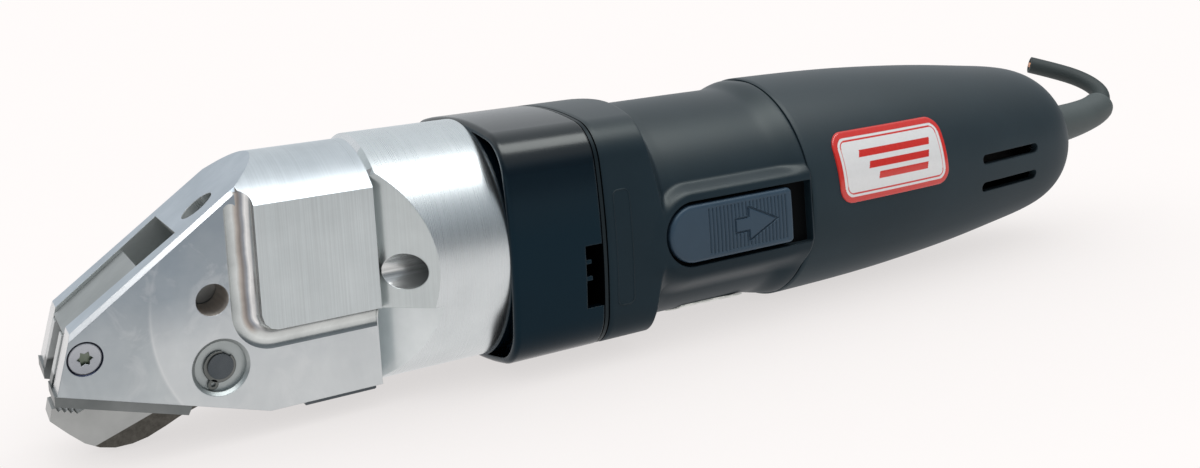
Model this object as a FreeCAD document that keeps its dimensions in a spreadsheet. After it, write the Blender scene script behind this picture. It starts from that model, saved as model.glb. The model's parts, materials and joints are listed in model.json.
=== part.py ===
import FreeCAD, Part
import math
import os
import Sketcher
from FreeCAD import Placement, Rotation, Vector

# Electric nibbler shear for roofing and cladding sheet.
# +X runs along the tool axis from the blades (front) to the cable (rear), +Z is
# up and Y runs across. The origin is the balance point on the tool axis. Every X
# below is given from the shoulder where the fork head meets its round flange,
# and each placement takes off balance_x. Near is the -Y side, far is +Y.

doc = FreeCAD.newDocument("nibbler")
sheet = doc.addObject("Spreadsheet::Sheet", "Sizes")
SIZE = {}
PIECES = []
SIDES = {-1: "near", 1: "far"}
ALONG_X = Rotation(Vector(0, 1, 0), 90)
ALONG_Y = Rotation(Vector(1, 0, 0), -90)
ALONG_Z = Rotation()


def dim(alias, value):
    """One driving dimension: a cell with an alias. A known alias keeps its value."""
    if alias not in SIZE:
        SIZE[alias] = float(value)
        row = len(SIZE)
        sheet.set("A%d" % row, alias)
        sheet.set("B%d" % row, repr(float(value)))
        sheet.setAlias("B%d" % row, alias)
    return alias


# ---------------------------------------------------------------- main sizes
for alias, value in {
    "balance_x": 72.14,
    # fork head, round flange and the spigot that centres it in the gear case
    "head_r": 31.3,
    "flange_r": 32.5,
    "flange_len": 31.5,
    "spigot_r": 27.0,
    "spigot_len": 6.0,
    "ear_half": 19.0,
    "flat_half": 23.0,
    # lever pivot, and the half angle of the lever's swing in degrees
    "pivot_x": -39.0,
    "pivot_z": -16.3,
    "lever_swing": 6.2,
    # screw axes
    "blade_screw_x": -68.3,
    "blade_screw_z": -7.8,
    "head_screw_y": 25.8,
    "head_screw_z": -0.4,
    "case_screw_pitch": 42.08,
    # gear case, joint plate and housing
    "case_wall": 3.0,
    "joint_front_x": 57.5,
    "joint_rear_x": 59.3,
    "shell_drop": -0.8,
    "rear_wall": 2.6,
    # motor
    "core_front_x": 76.0,
    "core_rear_x": 112.0,
    "coil_gap": 0.05,
    "coil_inner_r": 18.0,
    "coil_outer_r": 25.5,
    "coil_end": 4.6,
    "shaft_r": 4.0,
    "fan_r": 25.2,
    "fan_blades": 13,
    # gears
    "stage1_module": 0.6,
    "stage1_pinion_teeth": 14,
    "stage1_gear_teeth": 41,
    "stage2_module": 0.75,
    "stage2_pinion_teeth": 16,
    "stage2_gear_teeth": 28,
    "lay_z": -16.5,
    "lay_r": 3.0,
    # eccentric shaft
    "throw": 3.25,
    "crank_r": 3.2,
    "roller_r": 5.5,
    "journal_r": 7.0,
    "output_seat_r": 6.0,
    # brush springs
    "spring_r": 2.0,
    "spring_wire_r": 0.3,
    "spring_pitch": 1.45,
    "spring_len": 6.6,
    # badge, cable and sleeve
    "badge_len": 46.0,
    "badge_high": 21.0,
    "cable_r": 3.25,
    "core_hole_r": 0.95,
    "sleeve_r": 6.0,
}.items():
    dim(alias, value)

PIVOT_X, PIVOT_Z = SIZE["pivot_x"], SIZE["pivot_z"]
JOINT_FRONT, JOINT_REAR = SIZE["joint_front_x"], SIZE["joint_rear_x"]
CORE_FRONT, CORE_REAR = SIZE["core_front_x"], SIZE["core_rear_x"]
LAY_Z = SIZE["lay_z"]
DROP = SIZE["shell_drop"]


# ---------------------------------------------------------------- helpers
def number(value):
    """The number behind a value, an alias or a negated alias."""
    if isinstance(value, str):
        return -SIZE[value[1:]] if value.startswith("-") else SIZE[value]
    return float(value)


def formula(value):
    """The same value as expression text."""
    if isinstance(value, str):
        return "-Sizes." + value[1:] if value.startswith("-") else "Sizes." + value
    return repr(float(value))


def place(obj, x=0.0, y=0.0, z=0.0, rot=None):
    """Place an object. X is measured from the head shoulder."""
    base = Vector(number(x) - SIZE["balance_x"], number(y), number(z))
    obj.Placement = Placement(base, rot or Rotation())
    obj.setExpression("Placement.Base.x", formula(x) + " - Sizes.balance_x")
    if isinstance(y, str):
        obj.setExpression("Placement.Base.y", formula(y))
    if isinstance(z, str):
        obj.setExpression("Placement.Base.z", formula(z))
    return obj


def primitive(kind, name, key, sizes, x, y, z, rot=None):
    """A Part primitive. sizes maps each property to (alias suffix, value)."""
    obj = doc.addObject("Part::" + kind, name)
    for prop, (suffix, value) in sizes.items():
        alias = value if isinstance(value, str) else dim(key + "_" + suffix, value)
        setattr(obj, prop, number(alias))
        obj.setExpression(prop, formula(alias))
    return place(obj, x, y, z, rot)


def cylinder(name, radius, length, x, y=0.0, z=0.0, rot=ALONG_X, key=None):
    sizes = {"Radius": ("r", radius), "Height": ("len", length)}
    return primitive("Cylinder", name, key or name, sizes, x, y, z, rot)


def box(name, x0, x1, y0, y1, z0, z1, key=None, rot=None):
    """A box between two corners."""
    sizes = {"Length": ("dx", x1 - x0), "Width": ("dy", y1 - y0), "Height": ("dz", z1 - z0)}
    return primitive("Box", name, key or name, sizes, x0, y0, z0, rot)


def side_cylinder(key, side, radius, y_in, y_out, x, z):
    """A cylinder along Y on one side, between two distances from the middle."""
    y0 = min(side * y_in, side * y_out)
    return cylinder(key + "_" + SIDES[side], radius, y_out - y_in, x, y0, z, ALONG_Y, key)


def side_cone(key, side, inner_r, outer_r, y_in, y_out, x, z):
    """A cone along Y on one side, inner_r facing the middle plane."""
    radii = [dim(key + "_inner_r", inner_r), dim(key + "_outer_r", outer_r)]
    if side < 0:
        radii.reverse()
    sizes = {
        "Radius1": ("", radii[0]),
        "Radius2": ("", radii[1]),
        "Height": ("len", y_out - y_in),
    }
    y0 = min(side * y_in, side * y_out)
    return primitive("Cone", key + "_" + SIDES[side], key, sizes, x, y0, z, ALONG_Y)


def side_box(key, side, x0, x1, y_in, y_out, z0, z1):
    """A box on one side, between two distances from the middle plane."""
    y0, y1 = sorted((side * y_in, side * y_out))
    return box(key + "_" + SIDES[side], x0, x1, y0, y1, z0, z1, key)


def head_screw_y(side):
    return "head_screw_y" if side > 0 else "-head_screw_y"


def head_screw_cylinder(key, side, radius, length, x):
    """A cylinder on the axis of one head screw."""
    name = key + "_" + SIDES[side]
    return cylinder(name, radius, length, x, head_screw_y(side), "head_screw_z", key=key)


# the four case screw axes as (y, z)
CORNER = SIZE["case_screw_pitch"] / 2
CORNERS = [(y * CORNER, z * CORNER) for y in (-1, 1) for z in (-1, 1)]


def corner_cylinder(key, k, radius, length, x):
    """A cylinder on the axis of case screw k."""
    y, z = CORNERS[k]
    return cylinder("%s_%d" % (key, k), radius, length, x, y, z, key=key)


def fuse(name, parts):
    if len(parts) == 1:
        return parts[0]
    obj = doc.addObject("Part::MultiFuse", name)
    obj.Shapes = parts
    return obj


def cut(name, base, tools):
    obj = doc.addObject("Part::Cut", name)
    obj.Base = base
    obj.Tool = fuse(name + "_tools", tools)
    return obj


def common(name, first, second):
    obj = doc.addObject("Part::Common", name)
    obj.Base = first
    obj.Tool = second
    return obj


def group(name, parts):
    obj = doc.addObject("Part::Compound", name)
    obj.Links = parts
    return obj


def feature(name, shape):
    """A free shape, made in the shoulder frame and then placed."""
    obj = doc.addObject("Part::Feature", name)
    obj.Shape = shape
    return place(obj)


def piece(label, obj):
    """Mark an object for export. Its Label becomes the file name."""
    obj.Label = label
    PIECES.append(obj)


def shape_piece(label, shape):
    piece(label, feature(label + "_shape", shape))


def dressed(kind, name, base, edges, size):
    """A Part fillet or chamfer. The base is used as it is when the kernel
    can't build the dressing or there is no edge to dress."""
    obj = doc.addObject("Part::" + kind, name)
    obj.Base = base
    obj.Edges = [(i, size, size) for i in edges]
    doc.recompute()
    failed = "Invalid" in obj.State or obj.Shape.isNull() or not obj.Shape.isValid()
    if failed or not edges:
        doc.removeObject(obj.Name)
        return base
    return obj


def body(name):
    return place(doc.addObject("PartDesign::Body", name))


def new_sketch(owner, name, role, offset=None):
    """An empty sketch on an origin plane; offset is an alias."""
    s = owner.newObject("Sketcher::SketchObject", name)
    plane = [f for f in owner.Origin.OriginFeatures if f.Role == role][0]
    s.AttachmentSupport = [(plane, "")]
    s.MapMode = "FlatFace"
    if offset:
        s.AttachmentOffset = Placement(Vector(0, 0, number(offset)), Rotation())
        s.setExpression("AttachmentOffset.Base.z", formula(offset))
    return s


def polygon_sketch(owner, name, role, key, points, offset=None):
    """A closed polygon. Every corner is held by two distances from the sketch
    origin, each with its own cell."""
    s = new_sketch(owner, name, role, offset)
    n = len(points)
    for i in range(n):
        start, end = points[i], points[(i + 1) % n]
        line = Part.LineSegment(Vector(start[0], start[1], 0), Vector(end[0], end[1], 0))
        s.addGeometry(line, False)
    for i in range(n):
        s.addConstraint(Sketcher.Constraint("Coincident", i, 2, (i + 1) % n, 1))
    for i, (across, up) in enumerate(points):
        for kind, value, tag in (("DistanceX", across, "x"), ("DistanceY", up, "y")):
            alias = dim("%s_%s%d" % (key, tag, i), value)
            c = s.addConstraint(Sketcher.Constraint(kind, -1, 1, i, 1, SIZE[alias]))
            s.setExpression("Constraints[%d]" % c, "Sizes." + alias)
    return s


def pad(owner, profile, length, symmetric=False, reverse=False):
    """Pad a sketch by the length held under an alias."""
    f = owner.newObject("PartDesign::Pad", profile.Name + "_pad")
    f.Profile = profile
    profile.Visibility = False
    f.Length = number(length)
    f.setExpression("Length", formula(length))
    if symmetric:
        f.Midplane = True
    if reverse:
        f.Reversed = True


def prism(name, points, half, key=None):
    """A side-view polygon padded equally to both sides of the middle plane."""
    key = key or name
    b = body(name)
    s = polygon_sketch(b, name + "_side", "XZ_Plane", key, points)
    pad(b, s, dim(key + "_width", 2 * half), symmetric=True)
    return b


def plan_prism(name, points, z0, z1):
    """A plan-view polygon between two heights."""
    b = body(name)
    s = polygon_sketch(b, name + "_plan", "XY_Plane", name, points, dim(name + "_z", z0))
    pad(b, s, dim(name + "_high", z1 - z0))
    return b


def side_slab(name, points, offset, depth, reverse=False, key=None):
    """A side-view polygon at Y = -offset, padded to -Y, or to +Y if reversed."""
    key = key or name
    b = body(name)
    start = dim(name + "_offset", offset)
    s = polygon_sketch(b, name + "_side", "XZ_Plane", key, points, start)
    pad(b, s, dim(key + "_depth", depth), reverse=reverse)
    return b


def revolve(name, points, z0=None):
    """A body turned about the tool axis from a half profile of (x, radius).
    z0 is the alias of the axis height."""
    b = body(name)
    if z0:
        b.setExpression("Placement.Base.z", formula(z0))
    s = polygon_sketch(b, name + "_profile", "XZ_Plane", name, points)
    r = b.newObject("PartDesign::Revolution", name + "_turned")
    r.Profile = s
    r.ReferenceAxis = (s, ["H_Axis"])
    r.Angle = 360.0
    return b


def ring(name, x0, x1, inner_r, outer_r):
    return revolve(name, [(x0, inner_r), (x1, inner_r), (x1, outer_r), (x0, outer_r)])


def round_bar(x0, x1, radius, y=0.0, z=0.0):
    """A plain cylinder shape along X."""
    return Part.makeCylinder(radius, x1 - x0, Vector(x0, y, z), Vector(1, 0, 0))


# ---------------------------------------------------------------- fork head
HEAD_R = SIZE["head_r"]
FLANGE_R = SIZE["flange_r"]
FLANGE_LEN = SIZE["flange_len"]
SPIGOT_R = SIZE["spigot_r"]
SPIGOT_END = FLANGE_LEN + SIZE["spigot_len"]
EAR_HALF = SIZE["ear_half"]

# side view (x, z): slope on top, raked nose, inclined blade seat below
EAR = [
    (-71.0, -1.84), (-21.6, 33.4), (0.0, 33.4),
    (0.0, -29.4), (-28.3, -29.4), (-74.66, -15.0),
]
# side view (x, z) of the raised clamp flats
FLAT = [
    (-29.5, 33.4), (0.0, 33.4), (0.0, -9.15), (-25.5, -9.15),
    (-27.5, -8.6), (-28.95, -7.15), (-29.5, -5.15),
]
SLOPE = math.atan2(EAR[1][1] - EAR[0][1], EAR[1][0] - EAR[0][0])

# chip pocket, side view (x, z)
CHIP_POCKET = [
    (-80.0, 30.0), (-55.5, 30.0), (-45.8, 16.1), (-40.0, 8.0),
    (-50.0, -10.0), (-50.0, -45.0), (-80.0, -45.0),
]
# slot for the lever, side view (x, z)
LEVER_SLOT = [
    (-62.0, -45.0), (-62.0, -6.0), (-48.0, 6.0), (-38.0, 11.0),
    (-24.0, 20.0), (-20.0, 20.0), (-20.0, -24.0), (-26.0, -45.0),
]


def chip_plan(clearance):
    """Plan (x, y) of the space between the ears, tapering in to the nose."""
    rear, front = 13.9 - clearance, 9.6 - clearance
    return [(-38.0, -rear), (-38.0, rear), (-80.0, front), (-80.0, -front)]


def fork_blank():
    """Ears and flats, kept inside a round bar with a square lower half."""
    b = body("head_blank")
    for key, points, half in (("ear", EAR, "ear_half"), ("flat", FLAT, "flat_half")):
        s = polygon_sketch(b, key + "_side", "XZ_Plane", key, points)
        pad(b, s, dim(key + "_width", 2 * SIZE[half]), symmetric=True)
    doc.recompute()
    bar = fuse(
        "fork_envelope",
        [
            cylinder("fork_round", "head_r", 90.0, -90.0),
            box("fork_square", -90.0, 0.0, -HEAD_R, HEAD_R, -40.0, 0.0),
        ],
    )
    fork = common("fork_shape", b, bar)
    doc.recompute()
    return fork


def on_ear_face(bounds, tolerance):
    """True if an edge's bounds lie in one outer face of the ears."""
    return (
        abs(abs(bounds.YMin) - EAR_HALF) < tolerance
        and abs(abs(bounds.YMax) - EAR_HALF) < tolerance
        and bounds.YMin * bounds.YMax > 0
    )


def cove_edges(shape):
    """Edges where the raised clamp flats meet the ear faces."""
    edges = []
    for i, edge in enumerate(shape.Edges):
        m = edge.BoundBox
        x_low, x_high = m.XMin + SIZE["balance_x"], m.XMax + SIZE["balance_x"]
        inside_x = -29.6 < x_low < -0.01 and x_high <= 0.01
        inside_z = m.ZMin > -9.2 and m.ZMax < 24.95
        if on_ear_face(m, 1e-4) and inside_x and inside_z and edge.Length > 0.5:
            edges.append(i + 1)
    return edges


def slope_edges(shape):
    """Long outer edges that run along the slope."""
    edges = []
    for i, edge in enumerate(shape.Edges):
        if not on_ear_face(edge.BoundBox, 1e-3):
            continue
        start, end = edge.Vertexes[0].Point, edge.Vertexes[-1].Point
        dx, dz = abs(end[0] - start[0]), abs(end[2] - start[2])
        if dx > 20 and abs(math.atan2(dz, dx) - SLOPE) < 0.02:
            edges.append(i + 1)
    return edges


def scoop(name, side, y0, rise, z0, z1):
    """An inclined facet milled into the flange, deepest at the shoulder."""
    length, beyond = 22.0, 60.0
    points = [
        (0.0, side * y0),
        (length, side * (y0 + rise * length)),
        (length, side * beyond),
        (0.0, side * beyond),
    ]
    return plan_prism(name + "_" + SIDES[side], points, z0, z1)


def slope_hole():
    """A hole square to the slope."""
    normal_x, normal_z = -math.sin(SLOPE), math.cos(SLOPE)
    tilt = Rotation(Vector(0, 1, 0), -math.degrees(SLOPE))
    x, y, z, depth = -39.4, -7.3, 20.7, 10
    return cylinder(
        "slope_hole", 4.5, 14.0, x - depth * normal_x, y, z - depth * normal_z, tilt
    )


def head_tools():
    """Everything cut from the head."""
    tools = []
    for side in SIDES:
        tools += [
            scoop("scoop_upper", side, 20.2, 1.0, -9.6, 40.0),
            scoop("scoop_lower", side, 13.5, 1.30, -40.0, -9.6),
            head_screw_cylinder("bolt_cbore", side, 4.5, 22.0, 0.0),
            head_screw_cylinder("bolt_clear", side, 2.75, 40.0, 0.0),
        ]
    pocket_side = prism("chip_pocket_side", CHIP_POCKET, 20.0)
    pocket_wide = plan_prism("chip_pocket_wide", chip_plan(0.0), -45.0, 35.0)
    tools += [
        common("chip_pocket_shape", pocket_side, pocket_wide),
        prism("lever_slot", LEVER_SLOT, 5.4),
        # chamber for the lever's fork, opened to below
        box("fork_chamber", -27.0, 2.6, -7.5, 7.5, -23.6, 23.6),
        box("access_opening", -18.0, -3.0, -5.0, 5.0, -32.0, -23.0),
        # bores along the tool axis
        cylinder("roller_bore", 9.3, 17.0, -14.2),
        cylinder("shaft_bore", 14.0, 20.0, 2.6),
        cylinder("shaft_bore_rear", 12.6, 10.6, 22.0),
        cylinder("gear_bore", 24.6, 8.0, 31.8),
        cylinder("lay_bore", 3.8, 6.0, 26.5, 0.0, "lay_z"),
        cylinder("pivot_bore", 3.03, 50.0, "pivot_x", -25.0, "pivot_z", ALONG_Y),
    ]
    # counterbore and chamfer at each end of the pivot bore
    for side in SIDES:
        tools += [
            side_cylinder("pivot_cbore", side, 6.0, 16.9, 19.5, "pivot_x", "pivot_z"),
            side_cone("pivot_cham", side, 6.0, 7.3, 18.2, 19.5, "pivot_x", "pivot_z"),
        ]
    tools += [
        cylinder("cross_hole", 3.8, 50.0, -39.8, -25.0, 0.0, ALONG_Y),
        slope_hole(),
    ]
    # countersunk screw holes for the fixed blades
    at = ("blade_screw_x", "blade_screw_z")
    for side in SIDES:
        tools += [
            side_cylinder("blade_hole", side, 2.1, 9.0, 19.0, *at),
            side_cone("blade_csk", side, 2.0, 4.4, 16.7, 19.6, *at),
        ]
    return tools


fork = fork_blank()
coved = dressed("Fillet", "fork_coves", fork, cove_edges(fork.Shape), 3.7)
# flange, chamfered at the step, with the spigot behind it
flange = revolve(
    "head_flange",
    [
        (0.0, 0.0),
        (0.0, HEAD_R),
        (FLANGE_R - HEAD_R, FLANGE_R),
        (FLANGE_LEN, FLANGE_R),
        (FLANGE_LEN, SPIGOT_R),
        (SPIGOT_END, SPIGOT_R),
        (SPIGOT_END, 0.0),
    ],
)
head_raw = cut("head_raw", fuse("head_solid", [coved, flange]), head_tools())
doc.recompute()
head = dressed("Chamfer", "head_chamfered", head_raw, slope_edges(head_raw.Shape), 1.1)
piece("head_body", head)


# ---------------------------------------------------------------- fixed blades
def seat(x):
    """Height of the inclined blade seat at x."""
    (x_rear, z_rear), (x_nose, z_nose) = EAR[4], EAR[5]
    return z_nose + (z_rear - z_nose) / (x_rear - x_nose) * (x - x_nose)


# side views (x, z) of the foot under the seat and the leg that carries the screw
FOOT_T = 2.3
FOOT = [
    (-74.6, seat(-74.6)), (-46.2, seat(-46.2)), (-47.2, seat(-47.2) - FOOT_T),
    (-75.2, seat(-75.2) - FOOT_T), (-75.2, seat(-75.2)),
]
LEG = [
    (-75.2, seat(-75.2) - 1.0), (-71.9, -4.0), (-63.0, -4.0),
    (-56.5, -12.0), (-50.2, -14.0), (-50.2, seat(-50.2) - 1.0),
]


def fixed_blade(side):
    tag = SIDES[side]
    parts = []
    for key, points, y_out in (("foot", FOOT, 18.9), ("leg", LEG, 9.5)):
        whole = prism(key + "_" + tag, points, 20.0, key)
        limit = side_box(key + "_limit", side, -80.0, -40.0, 5.15, y_out, -40.0, 0.0)
        parts.append(common(key + "_shape_" + tag, whole, limit))
    tap = side_cylinder("blade_tap", side, 2.02, 5.0, 12.0, "blade_screw_x", "blade_screw_z")
    return cut("blade_" + tag, fuse("blade_bar_" + tag, parts), [tap])


def star_points():
    """Six-pointed drive recess, (x, z) about the blade screw axis."""
    points = []
    for k in range(12):
        r = 1.75 if k % 2 == 0 else 1.15
        a = math.radians(30 * k)
        points.append(
            (SIZE["blade_screw_x"] + r * math.cos(a), SIZE["blade_screw_z"] + r * math.sin(a))
        )
    return points


def blade_screw(side):
    """Countersunk screw with its head outwards."""
    tag = SIDES[side]
    at = ("blade_screw_x", "blade_screw_z")
    shank = side_cylinder("blade_screw", side, 2.0, 5.9, 18.75, *at)
    cone = side_cone("blade_screw_head", side, 2.0, 3.55, 16.75, 18.75, *at)
    offset = 18.8 if side < 0 else -17.6
    drive = side_slab("screw_drive_" + tag, star_points(), offset, 1.2, True, "star")
    return cut("star_screw_" + tag, fuse("blade_screw_solid_" + tag, [shank, cone]), [drive])


for side, tag in SIDES.items():
    piece(tag + "_fixed_blade", fixed_blade(side))
piece("fixed_blade_screws", group("blade_screw_set", [blade_screw(side) for side in SIDES]))

# steel plate that bridges the ears and turns the chip upwards, side view (x, z)
DEFLECTOR = [
    (-71.6, -3.3), (-54.5, 8.9), (-51.8, 5.2),
    (-58.5, 0.4), (-60.0, -2.6), (-69.5, -3.9),
]
deflector_side = prism("deflector_side", DEFLECTOR, 20.0)
deflector_plan = plan_prism("deflector_plan", chip_plan(0.05), -20.0, 20.0)
piece("chip_deflector", common("chip_deflector_shape", deflector_side, deflector_plan))


# ---------------------------------------------------------------- lever
def rest(x, z):
    """Turn a mid-stroke point about the pivot to the open rest pose."""
    swing = math.radians(SIZE["lever_swing"])
    dx, dz = x - PIVOT_X, z - PIVOT_Z
    return (
        PIVOT_X + dx * math.cos(swing) - dz * math.sin(swing),
        PIVOT_Z + dx * math.sin(swing) + dz * math.cos(swing),
    )


# side view (x, z) in four runs; the fork is given at mid-stroke
LEVER_TIP = [
    (-75.6, -24.4), (-75.0, -21.7), (-74.2, -21.6), (-73.6, -22.6), (-72.9, -22.1),
    (-72.3, -23.1), (-71.6, -22.6), (-71.0, -23.6), (-70.3, -23.1), (-69.7, -24.0),
]
LEVER_NECK = [
    (-66.0, -22.4), (-58.0, -16.5), (-51.5, -8.5),
    (-46.5, 0.5), (-41.0, 4.6), (-34.0, 5.4),
]
LEVER_FORK = [
    (-21.0, 12.0), (-21.0, 17.7), (-3.0, 17.7), (-3.0, 13.2), (-16.0, 13.2),
    (-16.0, -13.2), (-3.0, -13.2), (-3.0, -17.7), (-21.0, -17.7), (-24.0, -14.0),
]
LEVER_BELLY = [
    (-27.5, -22.0), (-32.0, -26.6), (-40.0, -28.0), (-46.9, -30.2), (-50.5, -31.8),
    (-54.6, -33.4), (-58.2, -34.1), (-62.0, -34.1), (-65.4, -33.2), (-68.6, -31.4),
    (-72.0, -28.2),
]
lever_outline = LEVER_TIP + LEVER_NECK + [rest(x, z) for x, z in LEVER_FORK] + LEVER_BELLY
lever = prism("lever_plate", lever_outline, 5.0)
lever_bore = cylinder("lever_bore", 3.05, 12.0, "pivot_x", -6.0, "pivot_z", ALONG_Y)
piece("moving_blade", cut("moving_blade_lever", lever, [lever_bore]))


# ---------------------------------------------------------------- pivot
def on_pivot(key, side, radius, y_in, y_out):
    return side_cylinder(key, side, radius, y_in, y_out, "pivot_x", "pivot_z")


def pin_groove(side):
    outside = on_pivot("groove_out", side, 3.4, 16.95, 17.85)
    core = on_pivot("groove_in", side, 2.5, 16.7, 18.1)
    return cut("pin_groove_" + SIDES[side], outside, [core])


def circlip(side):
    """Open ring with a lug and an eye below, gap at the top."""
    tag = SIDES[side]
    lug_x, lug_z = PIVOT_X - 2.05, PIVOT_Z - 3.95
    gap_half = 1.1
    inside, outside = 17.0, 17.8
    clear_in, clear_out = inside - 0.6, outside + 0.6
    disc = on_pivot("clip", side, 4.9, inside, outside)
    lug = side_cylinder("clip_lug", side, 1.4, inside, outside, lug_x, lug_z)
    tools = [
        on_pivot("clip_in", side, 2.55, clear_in, clear_out),
        side_cylinder("clip_eye", side, 0.6, clear_in, clear_out, lug_x, lug_z),
        side_box(
            "clip_gap", side, PIVOT_X - gap_half, PIVOT_X + gap_half,
            clear_in, clear_out, PIVOT_Z, PIVOT_Z + 7.0,
        ),
    ]
    return cut("circlip_" + tag, fuse("clip_body_" + tag, [disc, lug]), tools)


def thrust_washer(side):
    disc = on_pivot("washer", side, 7.0, 5.05, 5.38)
    hole = on_pivot("washer_in", side, 3.05, 4.45, 6.45)
    return cut("thrust_washer_" + SIDES[side], disc, [hole])


pin = cylinder("pivot_pin_rod", 3.0, 36.8, "pivot_x", -18.4, "pivot_z", ALONG_Y)
piece("pivot_pin", cut("pivot_pin_shape", pin, [pin_groove(side) for side in SIDES]))
piece("pivot_circlips", group("circlip_set", [circlip(side) for side in SIDES]))
piece("pivot_washers", group("washer_set", [thrust_washer(side) for side in SIDES]))
piece("bottom_cover", box("bottom_cover_plate", -19.6, -1.4, -9.0, 9.0, -30.7, -29.4))


# ---------------------------------------------------------------- head screws
def head_screw(side):
    """Cap screw with a hexagon socket."""
    tag = SIDES[side]
    cap = head_screw_cylinder("cap_head", side, 4.2, 5.0, 17.0)
    shank = head_screw_cylinder("cap_shank", side, 2.5, 19.0, 22.0)
    sizes = {"Circumradius": ("r", 2.3), "Height": ("deep", 3.0)}
    y = head_screw_y(side)
    socket = primitive(
        "Prism", "cap_hex_" + tag, "cap_hex", sizes, 16.9, y, "head_screw_z", ALONG_X
    )
    socket.Polygon = 6
    return cut("cap_screw_" + tag, fuse("cap_solid_" + tag, [cap, shank]), [socket])


piece("head_screws", group("head_screw_set", [head_screw(side) for side in SIDES]))

# ---------------------------------------------------------------- crowned sections
# half width, half height, side radius, top radius, corner radius
CASE = (34.0, 32.8, 150.0, 120.0, 12.0)
ROOM = tuple(v - SIZE["case_wall"] for v in CASE[:4]) + (9.5,)
FACE_RECESS = tuple(v - 1.8 for v in CASE)
JOINT = (33.9, 32.7, 150.0, 120.0, 12.0)


def corner_arc(half_w, half_h, side_r, top_r, corner_r):
    """Centre (p, q) of the corner arc and the angles where it meets the side
    and the top arc. Both tangencies are found by iteration."""
    p, q = half_w - corner_r, half_h - corner_r
    for _ in range(60):
        p = half_w - side_r + math.sqrt((side_r - corner_r) ** 2 - q * q)
        q = half_h - top_r + math.sqrt((top_r - corner_r) ** 2 - p * p)
    at_side = math.atan2(q, p - (half_w - side_r))
    at_top = math.atan2(q - (half_h - top_r), p)
    return p, q, at_side, at_top


def crowned_prism(name, key, section, x0, x1):
    """A section of eight tangent arcs padded from x0 to x1."""
    half_w, half_h, side_r, top_r, corner_r = section
    b = body(name)
    s = new_sketch(b, name + "_section", "YZ_Plane", dim(key + "_at", x0))
    for tag, value in zip(("half_w", "half_h", "side_r", "top_r", "corner_r"), section):
        dim(key + "_" + tag, value)
    p, q, side_a, top_a = corner_arc(*section)
    pi = math.pi
    # centre across, centre up, radius, start angle, end angle, alias suffix
    arcs = [
        (half_w - side_r, 0, side_r, -side_a, side_a, "side_r"),
        (p, q, corner_r, side_a, top_a, "corner_r"),
        (0, half_h - top_r, top_r, top_a, pi - top_a, "top_r"),
        (-p, q, corner_r, pi - top_a, pi - side_a, "corner_r"),
        (side_r - half_w, 0, side_r, pi - side_a, pi + side_a, "side_r"),
        (-p, -q, corner_r, pi + side_a, pi + top_a, "corner_r"),
        (0, top_r - half_h, top_r, pi + top_a, 2 * pi - top_a, "top_r"),
        (p, -q, corner_r, 2 * pi - top_a, 2 * pi - side_a, "corner_r"),
    ]
    for across, up, radius, start, end, tag in arcs:
        circle = Part.Circle(Vector(across, up, 0), Vector(0, 0, 1), radius)
        s.addGeometry(Part.ArcOfCircle(circle, start, end), False)
    for i in range(8):
        s.addConstraint(Sketcher.Constraint("Coincident", i, 2, (i + 1) % 8, 1))
    for i, arc in enumerate(arcs):
        c = s.addConstraint(Sketcher.Constraint("Radius", i, arc[2]))
        s.setExpression("Constraints[%d]" % c, "Sizes.%s_%s" % (key, arc[5]))
    pad(b, s, dim(key + "_len", x1 - x0))
    return b


# ---------------------------------------------------------------- gear case
def case_block():
    """The outside of the case, rounded along its front edge."""
    b = crowned_prism("gear_case_block", "case", CASE, FLANGE_LEN, JOINT_FRONT)
    doc.recompute()
    block = b.Tip
    front = []
    for i, edge in enumerate(block.Shape.Edges):
        m = edge.BoundBox
        if m.XMax - m.XMin < 1e-4 and abs(m.XMin - FLANGE_LEN) < 1e-3:
            front.append("Edge%d" % (i + 1))
    rounding = b.newObject("PartDesign::Fillet", "case_front_round")
    rounding.Base = (block, front)
    radius = dim("case_front_radius", 1.4)
    rounding.Radius = SIZE[radius]
    rounding.setExpression("Radius", formula(radius))
    return b


def gear_case():
    room = crowned_prism("gear_case_room", "case_room", ROOM, 36.6, 58.0)
    spigot_seat = cylinder("spigot_seat", 27.05, 10.0, 30.0)
    shell = cut("case_shell", case_block(), [room, spigot_seat])
    bosses = [head_screw_cylinder("case_boss", side, 5.0, 10.0, 34.6) for side in SIDES]
    posts = [corner_cylinder("case_post", k, 3.6, 22.9, 34.6) for k in range(4)]
    full = fuse("case_full", [shell] + bosses + posts)

    tools = []
    for side in SIDES:
        tools += [
            side_box("exhaust", side, 52.5, 58.0, 28.0, 36.0, -17.8, -1.0),
            head_screw_cylinder("case_tap", side, 2.52, 12.0, 31.0),
        ]
    for k in range(4):
        tools += [
            corner_cylinder("case_cb", k, 2.75, 3.6, 30.5),
            corner_cylinder("case_hole", k, 1.9, 28.0, 30.5),
        ]
    # open corners in the front face, between the round flange and a thin rim
    recess = crowned_prism("case_corner_block", "case_corner", FACE_RECESS, 30.0, 35.4)
    land = cylinder("case_land", 33.0, 8.0, 29.0)
    tools += [spigot_seat, cut("case_corners", recess, [land])]
    opened = cut("gear_case_open", full, tools)

    half_t = 0.55
    fins = [
        side_box("exhaust_fin", side, 51.6, 54.4, 30.4, 33.4, z - half_t, z + half_t)
        for side in SIDES
        for z in (-5.4, -9.8)
    ]
    return fuse("gear_case_shape", [opened] + fins)


def case_screw(k):
    """Slotted screw with a round head."""
    y, z = CORNERS[k]
    cap = corner_cylinder("case_screw_head", k, 2.6, 2.2, 31.8)
    shank = corner_cylinder("case_screw", k, 1.75, 32.0, 34.0)
    slot = box(
        "case_screw_slot_%d" % k, 31.0, 32.8, y - 0.4, y + 0.4, z - 3.0, z + 3.0,
        key="case_screw_slot",
    )
    return cut("slotted_screw_%d" % k, fuse("case_screw_solid_%d" % k, [cap, shank]), [slot])


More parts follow.
